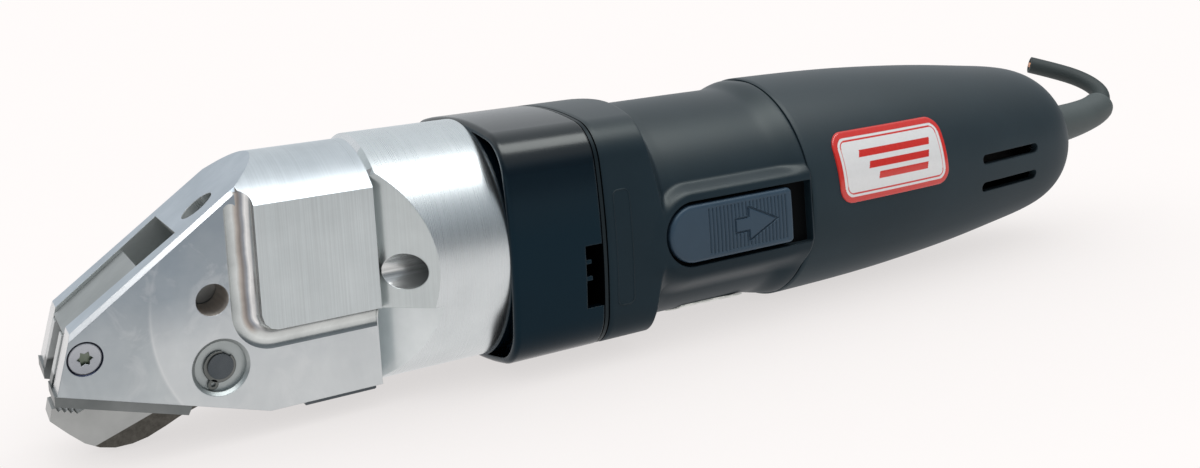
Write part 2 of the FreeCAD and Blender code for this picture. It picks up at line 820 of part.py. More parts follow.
piece("gear_case_screws", group("gear_case_screw_set", [case_screw(k) for k in range(4)]))
piece("gear_case", gear_case())


# ---------------------------------------------------------------- joint plate
def ring_of_holes(key, radius, length, x, turn):
    """Six holes on a circle about the tool axis, the first at turn degrees."""
    holes = []
    circle_r = 21.0
    for k in range(6):
        a = math.radians(60 * k + turn)
        y, z = circle_r * math.cos(a), circle_r * math.sin(a)
        holes.append(cylinder("%s_%d" % (key, k), radius, length, x, y, z, key=key))
    return holes


def joint_plate():
    full = fuse(
        "plate_full",
        [
            crowned_prism("joint_plate_block", "joint_plate", JOINT, JOINT_FRONT, JOINT_REAR),
            ring("plate_hub", 50.8, JOINT_FRONT, 11.0, 14.0),
            cylinder("plate_lay_boss", 5.5, 7.6, 50.0, 0.0, "lay_z"),
        ],
    )
    tools = [
        cylinder("plate_bore", 11.0, 12.0, 49.9),
        cylinder("plate_lay_hole", 3.04, 7.2, 49.6, 0.0, "lay_z"),
    ]
    tools += [corner_cylinder("plate_hole", k, "case_hole_r", 4.0, 56.5) for k in range(4)]
    tools += ring_of_holes("plate_port", 4.5, 4.0, 56.5, 0)
    return cut("joint_plate_shape", full, tools)


piece("joint_plate", joint_plate())

# ---------------------------------------------------------------- grip housing
# half profile (x, radius) that rounds the band down to the neck
GRIP_FALL = [
    (69.0, 0.0), (69.0, 46.0), (69.9, 42.6), (71.2, 39.0), (72.7, 36.3),
    (74.6, 34.2), (76.4, 32.8), (78.2, 31.81), (78.2, 0.0),
]
# half profile (x, radius) of the neck
GRIP_NECK = [
    (77.9, 0.0), (77.9, 31.8), (104.0, 31.9), (116.0, 32.3), (119.5, 32.6),
    (122.5, 33.4), (126.0, 33.9), (128.8, 34.0), (128.8, 0.0),
]
GRIP_BORE = [(58.0, 0.0), (58.0, 28.9), (128.0, 29.2), (130.0, 29.2), (130.0, 0.0)]
# side views (x, z) of the slider and of its recess
RECESS = [
    (77.4, -3.5), (78.3, 0.6), (81.0, 4.0), (85.0, 5.6), (125.6, 5.6),
    (125.6, -12.6), (85.0, -12.6), (81.0, -11.0), (78.3, -7.6),
]
SLIDER = [
    (78.6, -3.5), (79.4, 0.0), (81.8, 3.0), (85.2, 4.5), (119.8, 4.5), (120.9, 3.4),
    (120.9, -10.4), (119.8, -11.5), (85.2, -11.5), (81.8, -10.0), (79.4, -7.0),
]


def grip_housing():
    band = crowned_prism("grip_band", "band", CASE, JOINT_REAR, 69.5)
    fall = crowned_prism("grip_fall", "fall", CASE, 69.4, 78.0)
    fall_limit = revolve("grip_fall_limit", GRIP_FALL, "shell_drop")
    shoulder = common("grip_shoulder", fall, fall_limit)
    neck = revolve("grip_neck", GRIP_NECK, "shell_drop")
    # raised pad round the slider, on the near side
    pad_block = box("switch_pad", 74.5, 128.8, -34.3, -20.0, -18.5, 7.5)
    pad_limit = cylinder("switch_pad_limit", 37.5, 60.0, 72.0)
    switch_pad = common("switch_pad_shape", pad_block, pad_limit)
    outside = fuse("grip_outer", [band, shoulder, neck, switch_pad])
    tools = [
        revolve("grip_bore", GRIP_BORE, "shell_drop"),
        side_slab("slider_recess", RECESS, 31.4, 8.0),
        box("slider_window", 97.4, 111.4, -34.0, -26.0, -5.6, -1.0),
    ]
    hollow = cut("grip_hollow", outside, tools)
    bosses = [corner_cylinder("grip_boss", k, 3.6, 9.0, 59.4) for k in range(4)]
    taps = [corner_cylinder("grip_tap", k, 1.77, 8.5, 59.0) for k in range(4)]
    return cut("grip_shape", fuse("grip_full", [hollow] + bosses), taps)


piece("grip_housing", grip_housing())

# ---------------------------------------------------------------- rear housing
# half profile (x, radius)
REAR = [
    (129.1, 34.2), (148.0, 34.0), (168.0, 33.4), (188.0, 32.2), (208.0, 30.5),
    (228.0, 28.2), (242.0, 26.3), (249.0, 24.6), (253.5, 22.6), (257.5, 19.6),
    (261.0, 15.8), (264.5, 11.0), (266.5, 7.6), (267.0, 6.5),
]


def turned(wire):
    """Turn a closed wire about the dropped housing axis."""
    return Part.Face(wire).revolve(Vector(0, 0, DROP), Vector(1, 0, 0), 360)


def turned_spline(profile):
    """Turn a smooth curve through (x, radius) points, closed to the axis."""
    curve = Part.BSplineCurve()
    curve.interpolate([Vector(x, 0, DROP + r) for x, r in profile])
    closing = [profile[-1], (profile[-1][0], 0.0), (profile[0][0], 0.0), profile[0]]
    corners = [Vector(x, 0, DROP + r) for x, r in closing]
    lines = [Part.makeLine(a, b) for a, b in zip(corners, corners[1:])]
    return turned(Part.Wire([curve.toShape()] + lines))


def rear_inside():
    """The outside less the wall, set back at the closed end."""
    wall, set_back = SIZE["rear_wall"], 2.2
    profile = [(x - (0.0 if x < 240 else set_back), r - wall) for x, r in REAR[:11]]
    profile[0] = (129.0, REAR[0][1] - wall)
    return turned_spline(profile)


def rear_housing():
    outside = feature("rear_outer", turned_spline(REAR))
    shell = cut("rear_shell", outside, [feature("rear_inner", rear_inside())])
    shelf_box = box("rear_shelf_box", 168.0, 248.0, -30.0, 30.0, -14.0, -11.5)
    shelf = common("rear_shelf", shelf_box, outside)
    # hole for the cable gland, and two round-ended vents on each side
    tools = [cylinder("gland_hole", 6.3, 30.0, 245.0)]
    front, rear, half_high = 205.0, 231.5, 1.3
    for side in SIDES:
        for z in (0.2, -9.6):
            tools.append(
                side_box("vent", side, front, rear, 18.0, 40.0, z - half_high, z + half_high)
            )
            for x in (front, rear):
                tools.append(side_cylinder("vent_end", side, half_high, 18.0, 40.0, x, z))
    return cut("rear_housing_shape", fuse("rear_ribbed", [shell, shelf]), tools)


piece("rear_housing", rear_housing())

# ---------------------------------------------------------------- switch
SHELF_TOP = -11.45

slider_cap = side_slab("slider_cap", SLIDER, 31.6, 3.5)
slider_peg = box("slider_peg", 98.0, 106.5, -31.7, -28.75, -5.2, -1.5)
piece("switch_slider", fuse("switch_slider_shape", [slider_cap, slider_peg]))
rod_bar = box("rod_bar", 96.0, 168.0, -28.7, -27.3, -5.0, -1.6)
rod_foot = box("rod_foot", 165.0, 168.0, -28.0, -18.0, -5.0, -1.6)
piece("switch_rod", fuse("switch_rod_shape", [rod_bar, rod_foot]))
piece("switch_block", box("switch_box", 172.6, 197.0, -24.5, -10.0, SHELF_TOP, 1.5))
can_r = SIZE[dim("suppressor_r", 7.0)]
can = cylinder("suppressor_can", "suppressor_r", 28.0, 172.0, 11.5, SHELF_TOP + can_r)
piece("suppressor_capacitor", can)
terminal_body = box("terminal_body", 206.0, 222.0, -9.0, 9.0, SHELF_TOP, -3.6)
terminal_holes = [
    cylinder("terminal_hole_%d" % k, 1.8, 6.0, 214.0, y, -8.0, ALONG_Z, "terminal_hole")
    for k, y in enumerate((-5.5, 0.0, 5.5))
]
piece("terminal_block", cut("terminal_block_shape", terminal_body, terminal_holes))


# ---------------------------------------------------------------- field
def arc_block(x0, x1, inner_r, outer_r, a0, a1):
    """A sector of a ring between two angles, along the tool axis."""
    steps = 14

    def point(r, degrees):
        a = math.radians(degrees)
        return Vector(x0, r * math.cos(a), r * math.sin(a))

    points = [point(outer_r, a0 + (a1 - a0) * i / steps) for i in range(steps + 1)]
    points += [point(inner_r, a1 - (a1 - a0) * i / steps) for i in range(steps + 1)]
    return Part.Face(Part.makePolygon(points + [points[0]])).extrude(Vector(x1 - x0, 0, 0))


def field_coils():
    """Coil ends above and below the axis, in front of and behind the core."""
    gap, end, half_angle = SIZE["coil_gap"], SIZE["coil_end"], 62
    inner_r, outer_r = SIZE["coil_inner_r"], SIZE["coil_outer_r"]
    return Part.makeCompound([
        arc_block(x0, x1, inner_r, outer_r, a - half_angle, a + half_angle)
        for x0, x1 in ((CORE_FRONT - end, CORE_FRONT - gap), (CORE_REAR + gap, CORE_REAR + end))
        for a in (90, 270)
    ])


piece("field_core", ring("motor_core_ring", CORE_FRONT, CORE_REAR, 16.5, 27.0))
shape_piece("field_windings", field_coils())


# ---------------------------------------------------------------- gear teeth
# pressure angle; addendum and dedendum in modules; tooth thinning in mm
PRESSURE = math.radians(20)
ADDENDUM, DEDENDUM, THINNING = 0.82, 1.15, 0.07
FLANK_STEPS = 6
UP, DOWN = math.pi / 2, -math.pi / 2


def gear_points(teeth, module, tooth_at):
    """Outline of a spur gear with involute flanks; tooth_at is the angle of one
    tooth's middle."""
    pitch_r = module * teeth / 2
    base_r = pitch_r * math.cos(PRESSURE)
    tip_r, root_r = pitch_r + ADDENDUM * module, pitch_r - DEDENDUM * module
    involute = math.tan(PRESSURE) - PRESSURE
    half = math.pi / (2 * teeth) - THINNING / (2 * pitch_r) + involute
    start_r = max(base_r, root_r)
    flank = []
    for i in range(FLANK_STEPS + 1):
        r = start_r + (tip_r - start_r) * i / FLANK_STEPS
        roll = math.acos(min(1.0, base_r / r))
        flank.append((r, half - (math.tan(roll) - roll)))
    if root_r < base_r:
        # a radial step from the root up to the base circle
        flank.insert(0, (root_r, flank[0][1]))
    points = []
    for k in range(teeth):
        middle = tooth_at + 2 * math.pi * k / teeth
        points += [(r, middle - a) for r, a in flank]
        points += [(r, middle + a) for r, a in reversed(flank)]
    return [(r * math.cos(a), r * math.sin(a)) for r, a in points]


def gear_solid(teeth, module, tooth_at, x0, x1, z=0.0):
    """A spur gear; teeth and module are aliases."""
    outline = gear_points(int(SIZE[teeth]), SIZE[module], tooth_at)
    points = [Vector(x0, across, z + up) for across, up in outline]
    return Part.Face(Part.makePolygon(points + [points[0]])).extrude(Vector(x1 - x0, 0, 0))


# ---------------------------------------------------------------- armature
SHAFT_FIT = SIZE["shaft_r"] + 0.02


def armature_shaft():
    pinion = gear_solid("stage1_pinion_teeth", "stage1_module", DOWN, 43.0, 49.2)
    shaft = pinion.fuse(round_bar(49.0, 132.0, SIZE["shaft_r"]))
    return shaft.fuse(round_bar(131.9, 146.0, 3.5)).removeSplitter()


def commutator():
    """A ring with 24 narrow slots in its outside."""
    outline = ring("commutator_ring", 118.4, 130.5, SHAFT_FIT, 10.0)
    count, length, wide, deep, floor_r = 24, 13.5, 0.35, 1.2, 9.2
    slots = []
    for k in range(count):
        turn = Rotation(Vector(1, 0, 0), 360.0 / count * k)
        corner = turn.multVec(Vector(0, -wide / 2, floor_r))
        sizes = {"Length": ("dx", length), "Width": ("dy", wide), "Height": ("dz", deep)}
        slots.append(
            primitive(
                "Box", "com_slot_%d" % k, "com_slot", sizes, 117.7, corner.y, corner.z, turn
            )
        )
    return cut("commutator_shape", outline, slots)


def cooling_fan():
    """Hub and disc with pitched blades on the disc's rear face."""
    blade_x, blade_len, blade_t, blade_high, blade_r0 = 62.1, 6.4, 1.3, 14.0, 10.2
    pitch_r, pitch_angle = 17.0, 24
    count = int(SIZE["fan_blades"])
    axis = Vector(1, 0, 0)
    blades = []
    for k in range(count):
        corner = Vector(blade_x, -blade_t / 2, blade_r0)
        blade = Part.makeBox(blade_len, blade_t, blade_high, corner)
        blade.rotate(Vector(blade_x, 0, pitch_r), axis, pitch_angle)
        blade.rotate(Vector(0, 0, 0), axis, 360.0 / count * k)
        blades.append(blade)
    hub = round_bar(60.8, 69.0, 7.0)
    disc = round_bar(60.8, 62.2, SIZE["fan_r"])
    return hub.multiFuse([disc] + blades).cut(round_bar(60.0, 70.0, SHAFT_FIT))


shape_piece("armature_shaft", armature_shaft())
piece("armature_core", ring("armature_core_ring", CORE_FRONT, CORE_REAR, SHAFT_FIT, 16.0))
coil_front = ring("coil_front", 70.6, CORE_FRONT - SIZE["coil_gap"], SHAFT_FIT, 14.2)
coil_rear = ring("coil_rear", CORE_REAR + SIZE["coil_gap"], 117.2, SHAFT_FIT, 14.2)
piece("armature_windings", group("armature_coil_ends", [coil_front, coil_rear]))
piece("commutator", commutator())
shape_piece("cooling_fan", cooling_fan())

# ---------------------------------------------------------------- gears
LAY_R = SIZE["lay_r"]
stage2_pinion = gear_solid("stage2_pinion_teeth", "stage2_module", UP, 33.0, 39.6, LAY_Z)
lay_shaft = round_bar(27.0, 33.1, 2.0, z=LAY_Z).fuse(round_bar(33.0, 56.5, LAY_R, z=LAY_Z))
shape_piece("lay_shaft", lay_shaft.fuse(stage2_pinion))

# each driven gear turns a gap, half a tooth pitch off, towards its pinion
gap_up = UP + math.pi / int(SIZE["stage1_gear_teeth"])
lay_gear = gear_solid("stage1_gear_teeth", "stage1_module", gap_up, 43.4, 48.6, LAY_Z)
shape_piece("lay_gear", lay_gear.cut(round_bar(43.0, 49.0, LAY_R + 0.02, z=LAY_Z)))
gap_down = DOWN + math.pi / int(SIZE["stage2_gear_teeth"])
output_gear = gear_solid("stage2_gear_teeth", "stage2_module", gap_down, 33.4, 39.4)
shape_piece("output_gear", output_gear.cut(round_bar(33.0, 40.0, SIZE["output_seat_r"] + 0.02)))

# ---------------------------------------------------------------- bearings
# name, front x, rear x, bore radius, outside radius
for name, x0, x1, bore_r, outside_r in (
    ("output_front", 3.6, 11.6, 7.0, 14.0),
    ("output_rear", 23.6, 31.0, 7.0, 12.6),
    ("armature_front", 51.0, 57.0, 4.0, 11.0),
    ("armature_rear", 134.0, 140.0, 3.5, 9.5),
):
    race_t = (outside_r - bore_r) * 0.3
    outer_race = ring(name + "_outer_race", x0, x1, outside_r - race_t, outside_r - 0.02)
    inner_race = ring(name + "_inner_race", x0, x1, bore_r + 0.02, bore_r + race_t)
    piece(name + "_bearing_outer", outer_race)
    piece(name + "_bearing_inner", inner_race)

bush = cylinder("lay_bush", 3.78, 4.6, 26.8, 0.0, "lay_z")
bush_hole = cylinder("lay_bush_hole", 2.04, 8.0, 26.0, 0.0, "lay_z")
piece("lay_shaft_bush", cut("lay_bush_front", bush, [bush_hole]))

bracket = fuse(
    "bracket_full",
    [
        ring("bracket_ring", 138.9, 141.4, 9.5, 30.4),
        ring("bracket_hub", 133.8, 139.0, 9.5, 12.5),
    ],
)
bracket_tools = [box("bracket_notch", 138.0, 142.0, -31.5, -26.6, -5.7, -0.9)]
bracket_tools += ring_of_holes("bracket_port", 5.6, 5.0, 138.0, 10)
piece("rear_bearing_bracket", cut("bracket_shape", bracket, bracket_tools))


# ---------------------------------------------------------------- brushes
def brush_holder(side):
    """A square tube round the brush."""
    outside = side_box("holder_out", side, 120.3, 128.7, 12.0, 26.5, -4.2, 4.2)
    inside = side_box("holder_in", side, 121.4, 127.6, 5.0, 40.0, -3.1, 3.1)
    return cut("holder_" + SIDES[side], outside, [inside])


def brush_spring(side):
    """A coil spring pointing outwards from the back of the brush."""
    radius = SIZE["spring_r"]
    helix = Part.makeHelix(SIZE["spring_pitch"], SIZE["spring_len"], radius)
    section = Part.makeCircle(SIZE["spring_wire_r"], Vector(radius, 0, 0), Vector(0, 1, 0))
    coil = Part.Wire(helix).makePipeShell([Part.Wire(section)], True, True)
    coil.rotate(Vector(0, 0, 0), Vector(1, 0, 0), -90 * side)
    coil.translate(Vector(124.5, side * 19.4, 0))
    return coil


brushes = [side_box("brush", side, 121.5, 127.5, 10.08, 19.0, -3.0, 3.0) for side in SIDES]
piece("carbon_brushes", group("brush_pair", brushes))
piece("brush_holders", group("brush_holder_pair", [brush_holder(side) for side in SIDES]))
shape_piece("brush_springs", Part.makeCompound([brush_spring(side) for side in SIDES]))

# ---------------------------------------------------------------- eccentric
THROW, CRANK_R = SIZE["throw"], SIZE["crank_r"]
crank = round_bar(-12.8, -2.9, CRANK_R, z=THROW)
crankshaft = crank.fuse(round_bar(-3.0, 32.0, SIZE["journal_r"]))
shape_piece("eccentric_shaft", crankshaft.fuse(round_bar(31.9, 41.0, SIZE["output_seat_r"])))
roller = round_bar(-12.4, -4.8, SIZE["roller_r"], z=THROW)
shape_piece("eccentric_roller", roller.cut(round_bar(-13.0, -4.0, CRANK_R + 0.04, z=THROW)))


# ---------------------------------------------------------------- plates
def grown(profile, thickness):
    return [(x, r + thickness) for x, r in profile]


def badge_plate():
    """A rounded rectangle of skin on the near side of the rear housing."""
    skin = turned_spline(grown(REAR, 0.5)).cut(turned_spline(grown(REAR, 0.01)))
    corner = Vector(139.5, -45.0, -4.0)
    block = Part.makeBox(SIZE["badge_len"], 35.0, SIZE["badge_high"], corner)
    across = [e for e in block.Edges if abs(e.Vertexes[0].Y - e.Vertexes[-1].Y) > 1.0]
    return skin.common(block.makeFillet(5.0, across))


def rating_plate():
    """A thin plate under the neck."""
    neck = [(93.0, 31.856), (104.0, 31.9), (115.0, 32.267)]
    outline = grown(neck, 0.02) + grown(neck[::-1], 0.35)
    wire = Part.makePolygon([Vector(x, 0, DROP + r) for x, r in outline + [outline[0]]])
    return turned(wire).common(Part.makeBox(40, 22.0, 20.0, Vector(88.0, -15.0, -40.0)))


shape_piece("badge_plate", badge_plate())
shape_piece("rating_plate", rating_plate())

# ---------------------------------------------------------------- cable
CABLE_R = SIZE["cable_r"]
# middle line (x, y, z)
CABLE_PATH = [
    (226, 0, 0), (250, 0, 0), (275, 0, 0.4), (290, 0.1, 1.8), (301, 1.2, 4.6),
    (307.2, 5.6, 8.6), (307.0, 12.5, 12.8), (301.5, 20.0, 16.6), (293.5, 27.0, 20.0),
]
spine = Part.BSplineCurve()
spine.interpolate([Vector(*point) for point in CABLE_PATH])


def pipe(radius, start, end):
    """A round pipe along the cable's middle line between two parameters."""
    part = spine.copy()
    part.segment(start, end)
    first = part.FirstParameter
    section = Part.makeCircle(radius, part.value(first), part.tangent(first)[0])
    return Part.Wire(part.toShape()).makePipeShell([Part.Wire(section)], True, True)


def nearest(x, y, z):
    """The spine parameter nearest to a point."""
    return spine.parameter(Vector(x, y, z))


def cable_and_cores():
    """The cable with two cores that stick out of its free end."""
    last = spine.LastParameter
    cable = pipe(CABLE_R, spine.FirstParameter, last)
    end, along = spine.value(last), spine.tangent(last)[0]
    across = along.cross(Vector(0, 0, 1)).normalize()
    hole_r, depth = SIZE["core_hole_r"], 4.0
    cores = []
    for offset in (-1.25, 1.25):
        start = end + across * offset - along * depth
        cable = cable.cut(Part.makeCylinder(hole_r, 5.0, start, along))
        cores.append(Part.makeCylinder(hole_r - 0.01, 4.3, start, along))
    return cable, Part.makeCompound(cores)


def cable_sleeve():
    """Strain relief in three steps, with a collar near its front end."""
    # start point of each step (x, y, z), and the end of the last
    stations = [(252, 0, 0), (277, 0, 0.5), (289, 0.1, 1.7), (302, 1.5, 5.0)]
    radii = [SIZE["sleeve_r"], 5.6, 5.2]
    steps = [
        pipe(radius, nearest(*start), nearest(*end))
        for radius, start, end in zip(radii, stations, stations[1:])
    ]
    outside = steps[0].fuse(steps[1]).fuse(steps[2])
    bore = pipe(CABLE_R + 0.03, nearest(248, 0, 0), nearest(304.0, 2.6, 6.2))
    collar = round_bar(254.4, 258.4, 8.4).cut(round_bar(253.0, 259.0, 5.5))
    return outside.cut(bore).fuse(collar)


cable, cable_cores = cable_and_cores()
shape_piece("cable", cable)
shape_piece("cable_cores", cable_cores)
shape_piece("cable_sleeve", cable_sleeve())
clamp = Part.makeBox(8.0, 24.0, 10.0, Vector(236.0, -12.0, SHELF_TOP))
shape_piece("cable_clamp", clamp.cut(round_bar(235.0, 245.0, CABLE_R + 0.02)))

# ---------------------------------------------------------------- export
doc.recompute()
bad = [o.Name for o in doc.Objects if "Invalid" in o.State or "Error" in o.State]
if bad:
    raise SystemExit("failed: " + ", ".join(bad))
for obj in PIECES:
    if obj.Shape.isNull() or not obj.Shape.isValid() or not obj.Shape.Solids:
        raise SystemExit("bad shape: " + obj.Label)
os.makedirs("parts", exist_ok=True)
for obj in PIECES:
    obj.Shape.exportStep(os.path.join("parts", obj.Label + ".step"))
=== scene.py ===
import json
import math

import bmesh
import bpy
import numpy as np
from mathutils import Matrix, Vector


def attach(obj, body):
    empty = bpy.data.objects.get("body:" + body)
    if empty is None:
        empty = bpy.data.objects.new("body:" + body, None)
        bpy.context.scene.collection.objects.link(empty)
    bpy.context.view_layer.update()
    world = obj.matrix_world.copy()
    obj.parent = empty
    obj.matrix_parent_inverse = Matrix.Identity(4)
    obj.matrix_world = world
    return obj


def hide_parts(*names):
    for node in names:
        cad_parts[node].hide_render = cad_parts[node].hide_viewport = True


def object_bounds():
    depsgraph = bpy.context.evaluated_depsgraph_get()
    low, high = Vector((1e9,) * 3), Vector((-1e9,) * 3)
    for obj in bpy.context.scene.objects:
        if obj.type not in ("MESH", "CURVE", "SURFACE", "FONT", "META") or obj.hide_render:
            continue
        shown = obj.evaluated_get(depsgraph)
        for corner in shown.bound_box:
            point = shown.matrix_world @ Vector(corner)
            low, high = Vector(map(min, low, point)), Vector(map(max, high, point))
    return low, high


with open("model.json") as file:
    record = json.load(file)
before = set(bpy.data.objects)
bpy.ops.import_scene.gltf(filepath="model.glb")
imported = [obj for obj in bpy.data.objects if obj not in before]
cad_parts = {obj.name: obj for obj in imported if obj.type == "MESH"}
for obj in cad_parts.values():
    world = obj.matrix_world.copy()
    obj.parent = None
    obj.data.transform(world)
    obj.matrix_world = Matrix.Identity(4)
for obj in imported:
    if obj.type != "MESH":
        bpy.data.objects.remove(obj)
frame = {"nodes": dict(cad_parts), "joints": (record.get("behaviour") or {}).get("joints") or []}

CAD_LO, CAD_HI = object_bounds()
NODES = frame["nodes"]
scene = bpy.context.scene

# The pivot sits 39 mm in front of the head shoulder: lengths below are taken
# from that shoulder, in millimetres, and turned into the row frame here.
PIVOT = [j for j in frame["joints"] if j["name"] == "blade_swing"][0]["pos_m"]
BX = -39.0 - PIVOT[0] * 1000.0
DROP = -0.8


def mm(x, y, z):
    return ((x - BX) / 1000.0, y / 1000.0, z / 1000.0)


# ------------------------------------------------------------------ materials
class Mat:
    """A node material with short helpers."""

    def __init__(self, name):
        self.m = bpy.data.materials.new(name)
        self.m.use_nodes = True
        self.t = self.m.node_tree
        self.b = self.t.nodes["Principled BSDF"]
        self.co = None

    def n(self, kind, **kw):
        node = self.t.nodes.new(kind)
        for k, v in kw.items():
            setattr(node, k, v)
        return node

    def link(self, a, b):
        self.t.links.new(a, b)

    def set(self, **kw):
        for k, v in kw.items():
            self.b.inputs[k.replace("_", " ")].default_value = v
        return self

    def coord(self):
        if self.co is None:
            self.co = self.n("ShaderNodeTexCoord").outputs["Object"]
        return self.co

    def mapped(self, scale):
        mp = self.n("ShaderNodeMapping")
        mp.inputs["Scale"].default_value = scale
        self.link(self.coord(), mp.inputs["Vector"])
        return mp.outputs["Vector"]

    def noise(self, scale, detail=3.0, rough=0.5, vec=None, dist=0.0):
        nz = self.n("ShaderNodeTexNoise")
        nz.inputs["Scale"].default_value = scale
        nz.inputs["Detail"].default_value = detail
        nz.inputs["Roughness"].default_value = rough
        nz.inputs["Distortion"].default_value = dist
        self.link(vec if vec is not None else self.coord(), nz.inputs["Vector"])
        return nz.outputs["Fac"]

    def ramp(self, fac, stops):
        r = self.n("ShaderNodeValToRGB")
        e = r.color_ramp.elements
        while len(e) < len(stops):
            e.new(0.5)
        for el, (p, c) in zip(e, stops):
            el.position = p
            el.color = (c, c, c, 1) if isinstance(c, (int, float)) else (*c, 1)
        self.link(fac, r.inputs["Fac"])
        return r.outputs["Color"]

    def mix(self, fac, a, b):
        mx = self.n("ShaderNodeMix", data_type="RGBA")
        for sock, v in ((mx.inputs[0], fac), (mx.inputs[6], a), (mx.inputs[7], b)):
            if hasattr(v, "is_output"):
                self.link(v, sock)
            elif isinstance(v, (int, float)):
                sock.default_value = v
            else:
                sock.default_value = (*v, 1)
        return mx.outputs[2]

    def math(self, op, a, b=0.0, c=None):
        nd = self.n("ShaderNodeMath", operation=op)
        for i, v in enumerate((a, b) if c is None else (a, b, c)):
            if hasattr(v, "is_output"):
                self.link(v, nd.inputs[i])
            else:
                nd.inputs[i].default_value = v
        return nd.outputs[0]

    def rough(self, sock):
        self.link(sock, self.b.inputs["Roughness"])

    def color(self, sock):
        self.link(sock, self.b.inputs["Base Color"])

    def bump(self, height, strength=0.3, distance=0.0001, chain=None, bevel=None):
        bp = self.n("ShaderNodeBump")
        bp.inputs["Strength"].default_value = strength
        bp.inputs["Distance"].default_value = distance
        self.link(height, bp.inputs["Height"])
        if chain is not None:
            self.link(chain, bp.inputs["Normal"])
        self.link(bp.outputs["Normal"], self.b.inputs["Normal"])
        return bp.outputs["Normal"]

    def bevel(self, radius):
        bv = self.n("ShaderNodeBevel", samples=4)
        bv.inputs["Radius"].default_value = radius
        self.link(bv.outputs["Normal"], self.b.inputs["Normal"])
        return bv.outputs["Normal"]


def metal(name, col, rough, streak=None, amount=0.06, bevel=0.0003, aniso=0.0, tangent=None,
          fine=9000.0, bump=0.25, blot=0.04, tint=None, depth=0.00002, lines=0.0):
    """Machined metal. streak is a mapping scale: a large number across the
    tool marks, a small one along them."""
    M = Mat(name)
    M.set(Metallic=1.0, Roughness=rough)
    base = M.noise(60.0, 4.0, 0.6)
    lo = tuple(max(0.0, c - blot) for c in col)
    hi = tuple(min(1.0, c + blot) for c in col)
    if tint is not None:
        hi = tint
    M.color(M.mix(M.ramp(base, [(0.35, 0.0), (0.68, 1.0)]), lo, hi))
    nrm = M.bevel(bevel) if bevel else None
    if streak is not None:
        v = M.mapped(streak)
        s1 = M.noise(1.0, 5.0, 0.65, vec=v)
        if lines:
            shade = M.math("MULTIPLY_ADD", s1, 2.0 * lines, 1.0 - lines)
            cx = M.n("ShaderNodeCombineXYZ")
            for q in range(3):
                M.link(shade, cx.inputs[q])
            mu = M.n("ShaderNodeMix", data_type="RGBA", blend_type="MULTIPLY")
            mu.inputs[0].default_value = 1.0
            M.link(M.b.inputs["Base Color"].links[0].from_socket, mu.inputs[6])
            M.link(cx.outputs[0], mu.inputs[7])
            M.color(mu.outputs[2])
        M.rough(M.math("MULTIPLY_ADD", s1, amount * 2.0, rough - amount))
        M.bump(s1, bump, depth, chain=nrm)
    else:
        s1 = M.noise(fine, 2.0, 0.5)
        M.rough(M.math("MULTIPLY_ADD", s1, amount * 2.0, rough - amount))
        M.bump(s1, bump * 0.5, depth, chain=nrm)
    if aniso:
        M.b.inputs["Anisotropic"].default_value = aniso
        if tangent in ("X", "Y", "Z"):
            tg = M.n("ShaderNodeTangent", direction_type="RADIAL", axis=tangent)
            M.link(tg.outputs[0], M.b.inputs["Tangent"])
        elif tangent is not None:
            cx = M.n("ShaderNodeCombineXYZ")
            for i in range(3):
                cx.inputs[i].default_value = tangent[i]
            M.link(cx.outputs[0], M.b.inputs["Tangent"])
    return M


def swirl(name, col, rough, centre, freq=900.0, bump=0.2, tint=None, amount=0.05, blot=0.05):
    """Face-milled metal: arcs left by a cutter that passed at some distance."""
    M = metal(name, col, rough, None, amount=amount, tint=tint, blot=blot)
    sep = M.n("ShaderNodeVectorMath", operation="SUBTRACT")
    M.link(M.coord(), sep.inputs[0])
    sep.inputs[1].default_value = mm(*centre)
    ml = M.n("ShaderNodeVectorMath", operation="MULTIPLY")
    M.link(sep.outputs[0], ml.inputs[0])
    ml.inputs[1].default_value = (1, 0, 1)
    ln = M.n("ShaderNodeVectorMath", operation="LENGTH")
    M.link(ml.outputs[0], ln.inputs[0])
    wob = M.noise(25.0, 2.0, 0.5)
    rad = M.math("ADD", M.math("MULTIPLY", ln.outputs["Value"], freq), M.math("MULTIPLY", wob, 3.0))
    cx = M.n("ShaderNodeCombineXYZ")
    M.link(rad, cx.inputs[0])
    lines = M.noise(1.0, 3.0, 0.7, vec=cx.outputs[0])
    chain = M.b.inputs["Normal"].links[0].from_socket
    M.bump(lines, bump, 0.00003, chain=chain)
    r0 = M.math("MULTIPLY_ADD", lines, amount * 2.0, rough - amount)
    M.rough(r0)
    return M


def plastic(name, col, rough=0.5, grain=4200.0, bump=0.22, var=0.12, bevel=0.0004, spec=0.5, depth=0.00003, tint=(1, 1, 1)):
    M = Mat(name)
    M.set(Roughness=rough)
    M.b.inputs["Specular IOR Level"].default_value = spec
    M.b.inputs["Specular Tint"].default_value = (*tint, 1)
    big = M.noise(35.0, 4.0, 0.6)
    lo = tuple(c * (1 - var) for c in col)
    hi = tuple(c * (1 + var) for c in col)
    M.color(M.mix(M.ramp(big, [(0.3, 0.0), (0.7, 1.0)]), lo, hi))
    g = M.noise(grain, 2.0, 0.5)
    M.rough(M.math("MULTIPLY_ADD", big, 0.08, rough - 0.04))
    M.bump(g, bump, depth, chain=M.bevel(bevel) if bevel else None)
    return M


def facing_painted_sheen(M, spec, tints):
    """Painted sheen: specular level and tint follow which way a surface looks, faint and blue on the sides
    and underneath, stronger and neutral on top. Both lists hold (n.z, value)."""
    g = M.n("ShaderNodeNewGeometry")
    sep = M.n("ShaderNodeSeparateXYZ")
    M.link(g.outputs["Normal"], sep.inputs[0])
    t = M.math("MULTIPLY_ADD", sep.outputs[2], 0.5, 0.5)
    M.link(M.ramp(t, [(0.5 + 0.5 * z, v) for z, v in spec]), M.b.inputs["Specular IOR Level"])
    M.link(M.ramp(t, [(0.5 + 0.5 * z, c) for z, c in tints]), M.b.inputs["Specular Tint"])


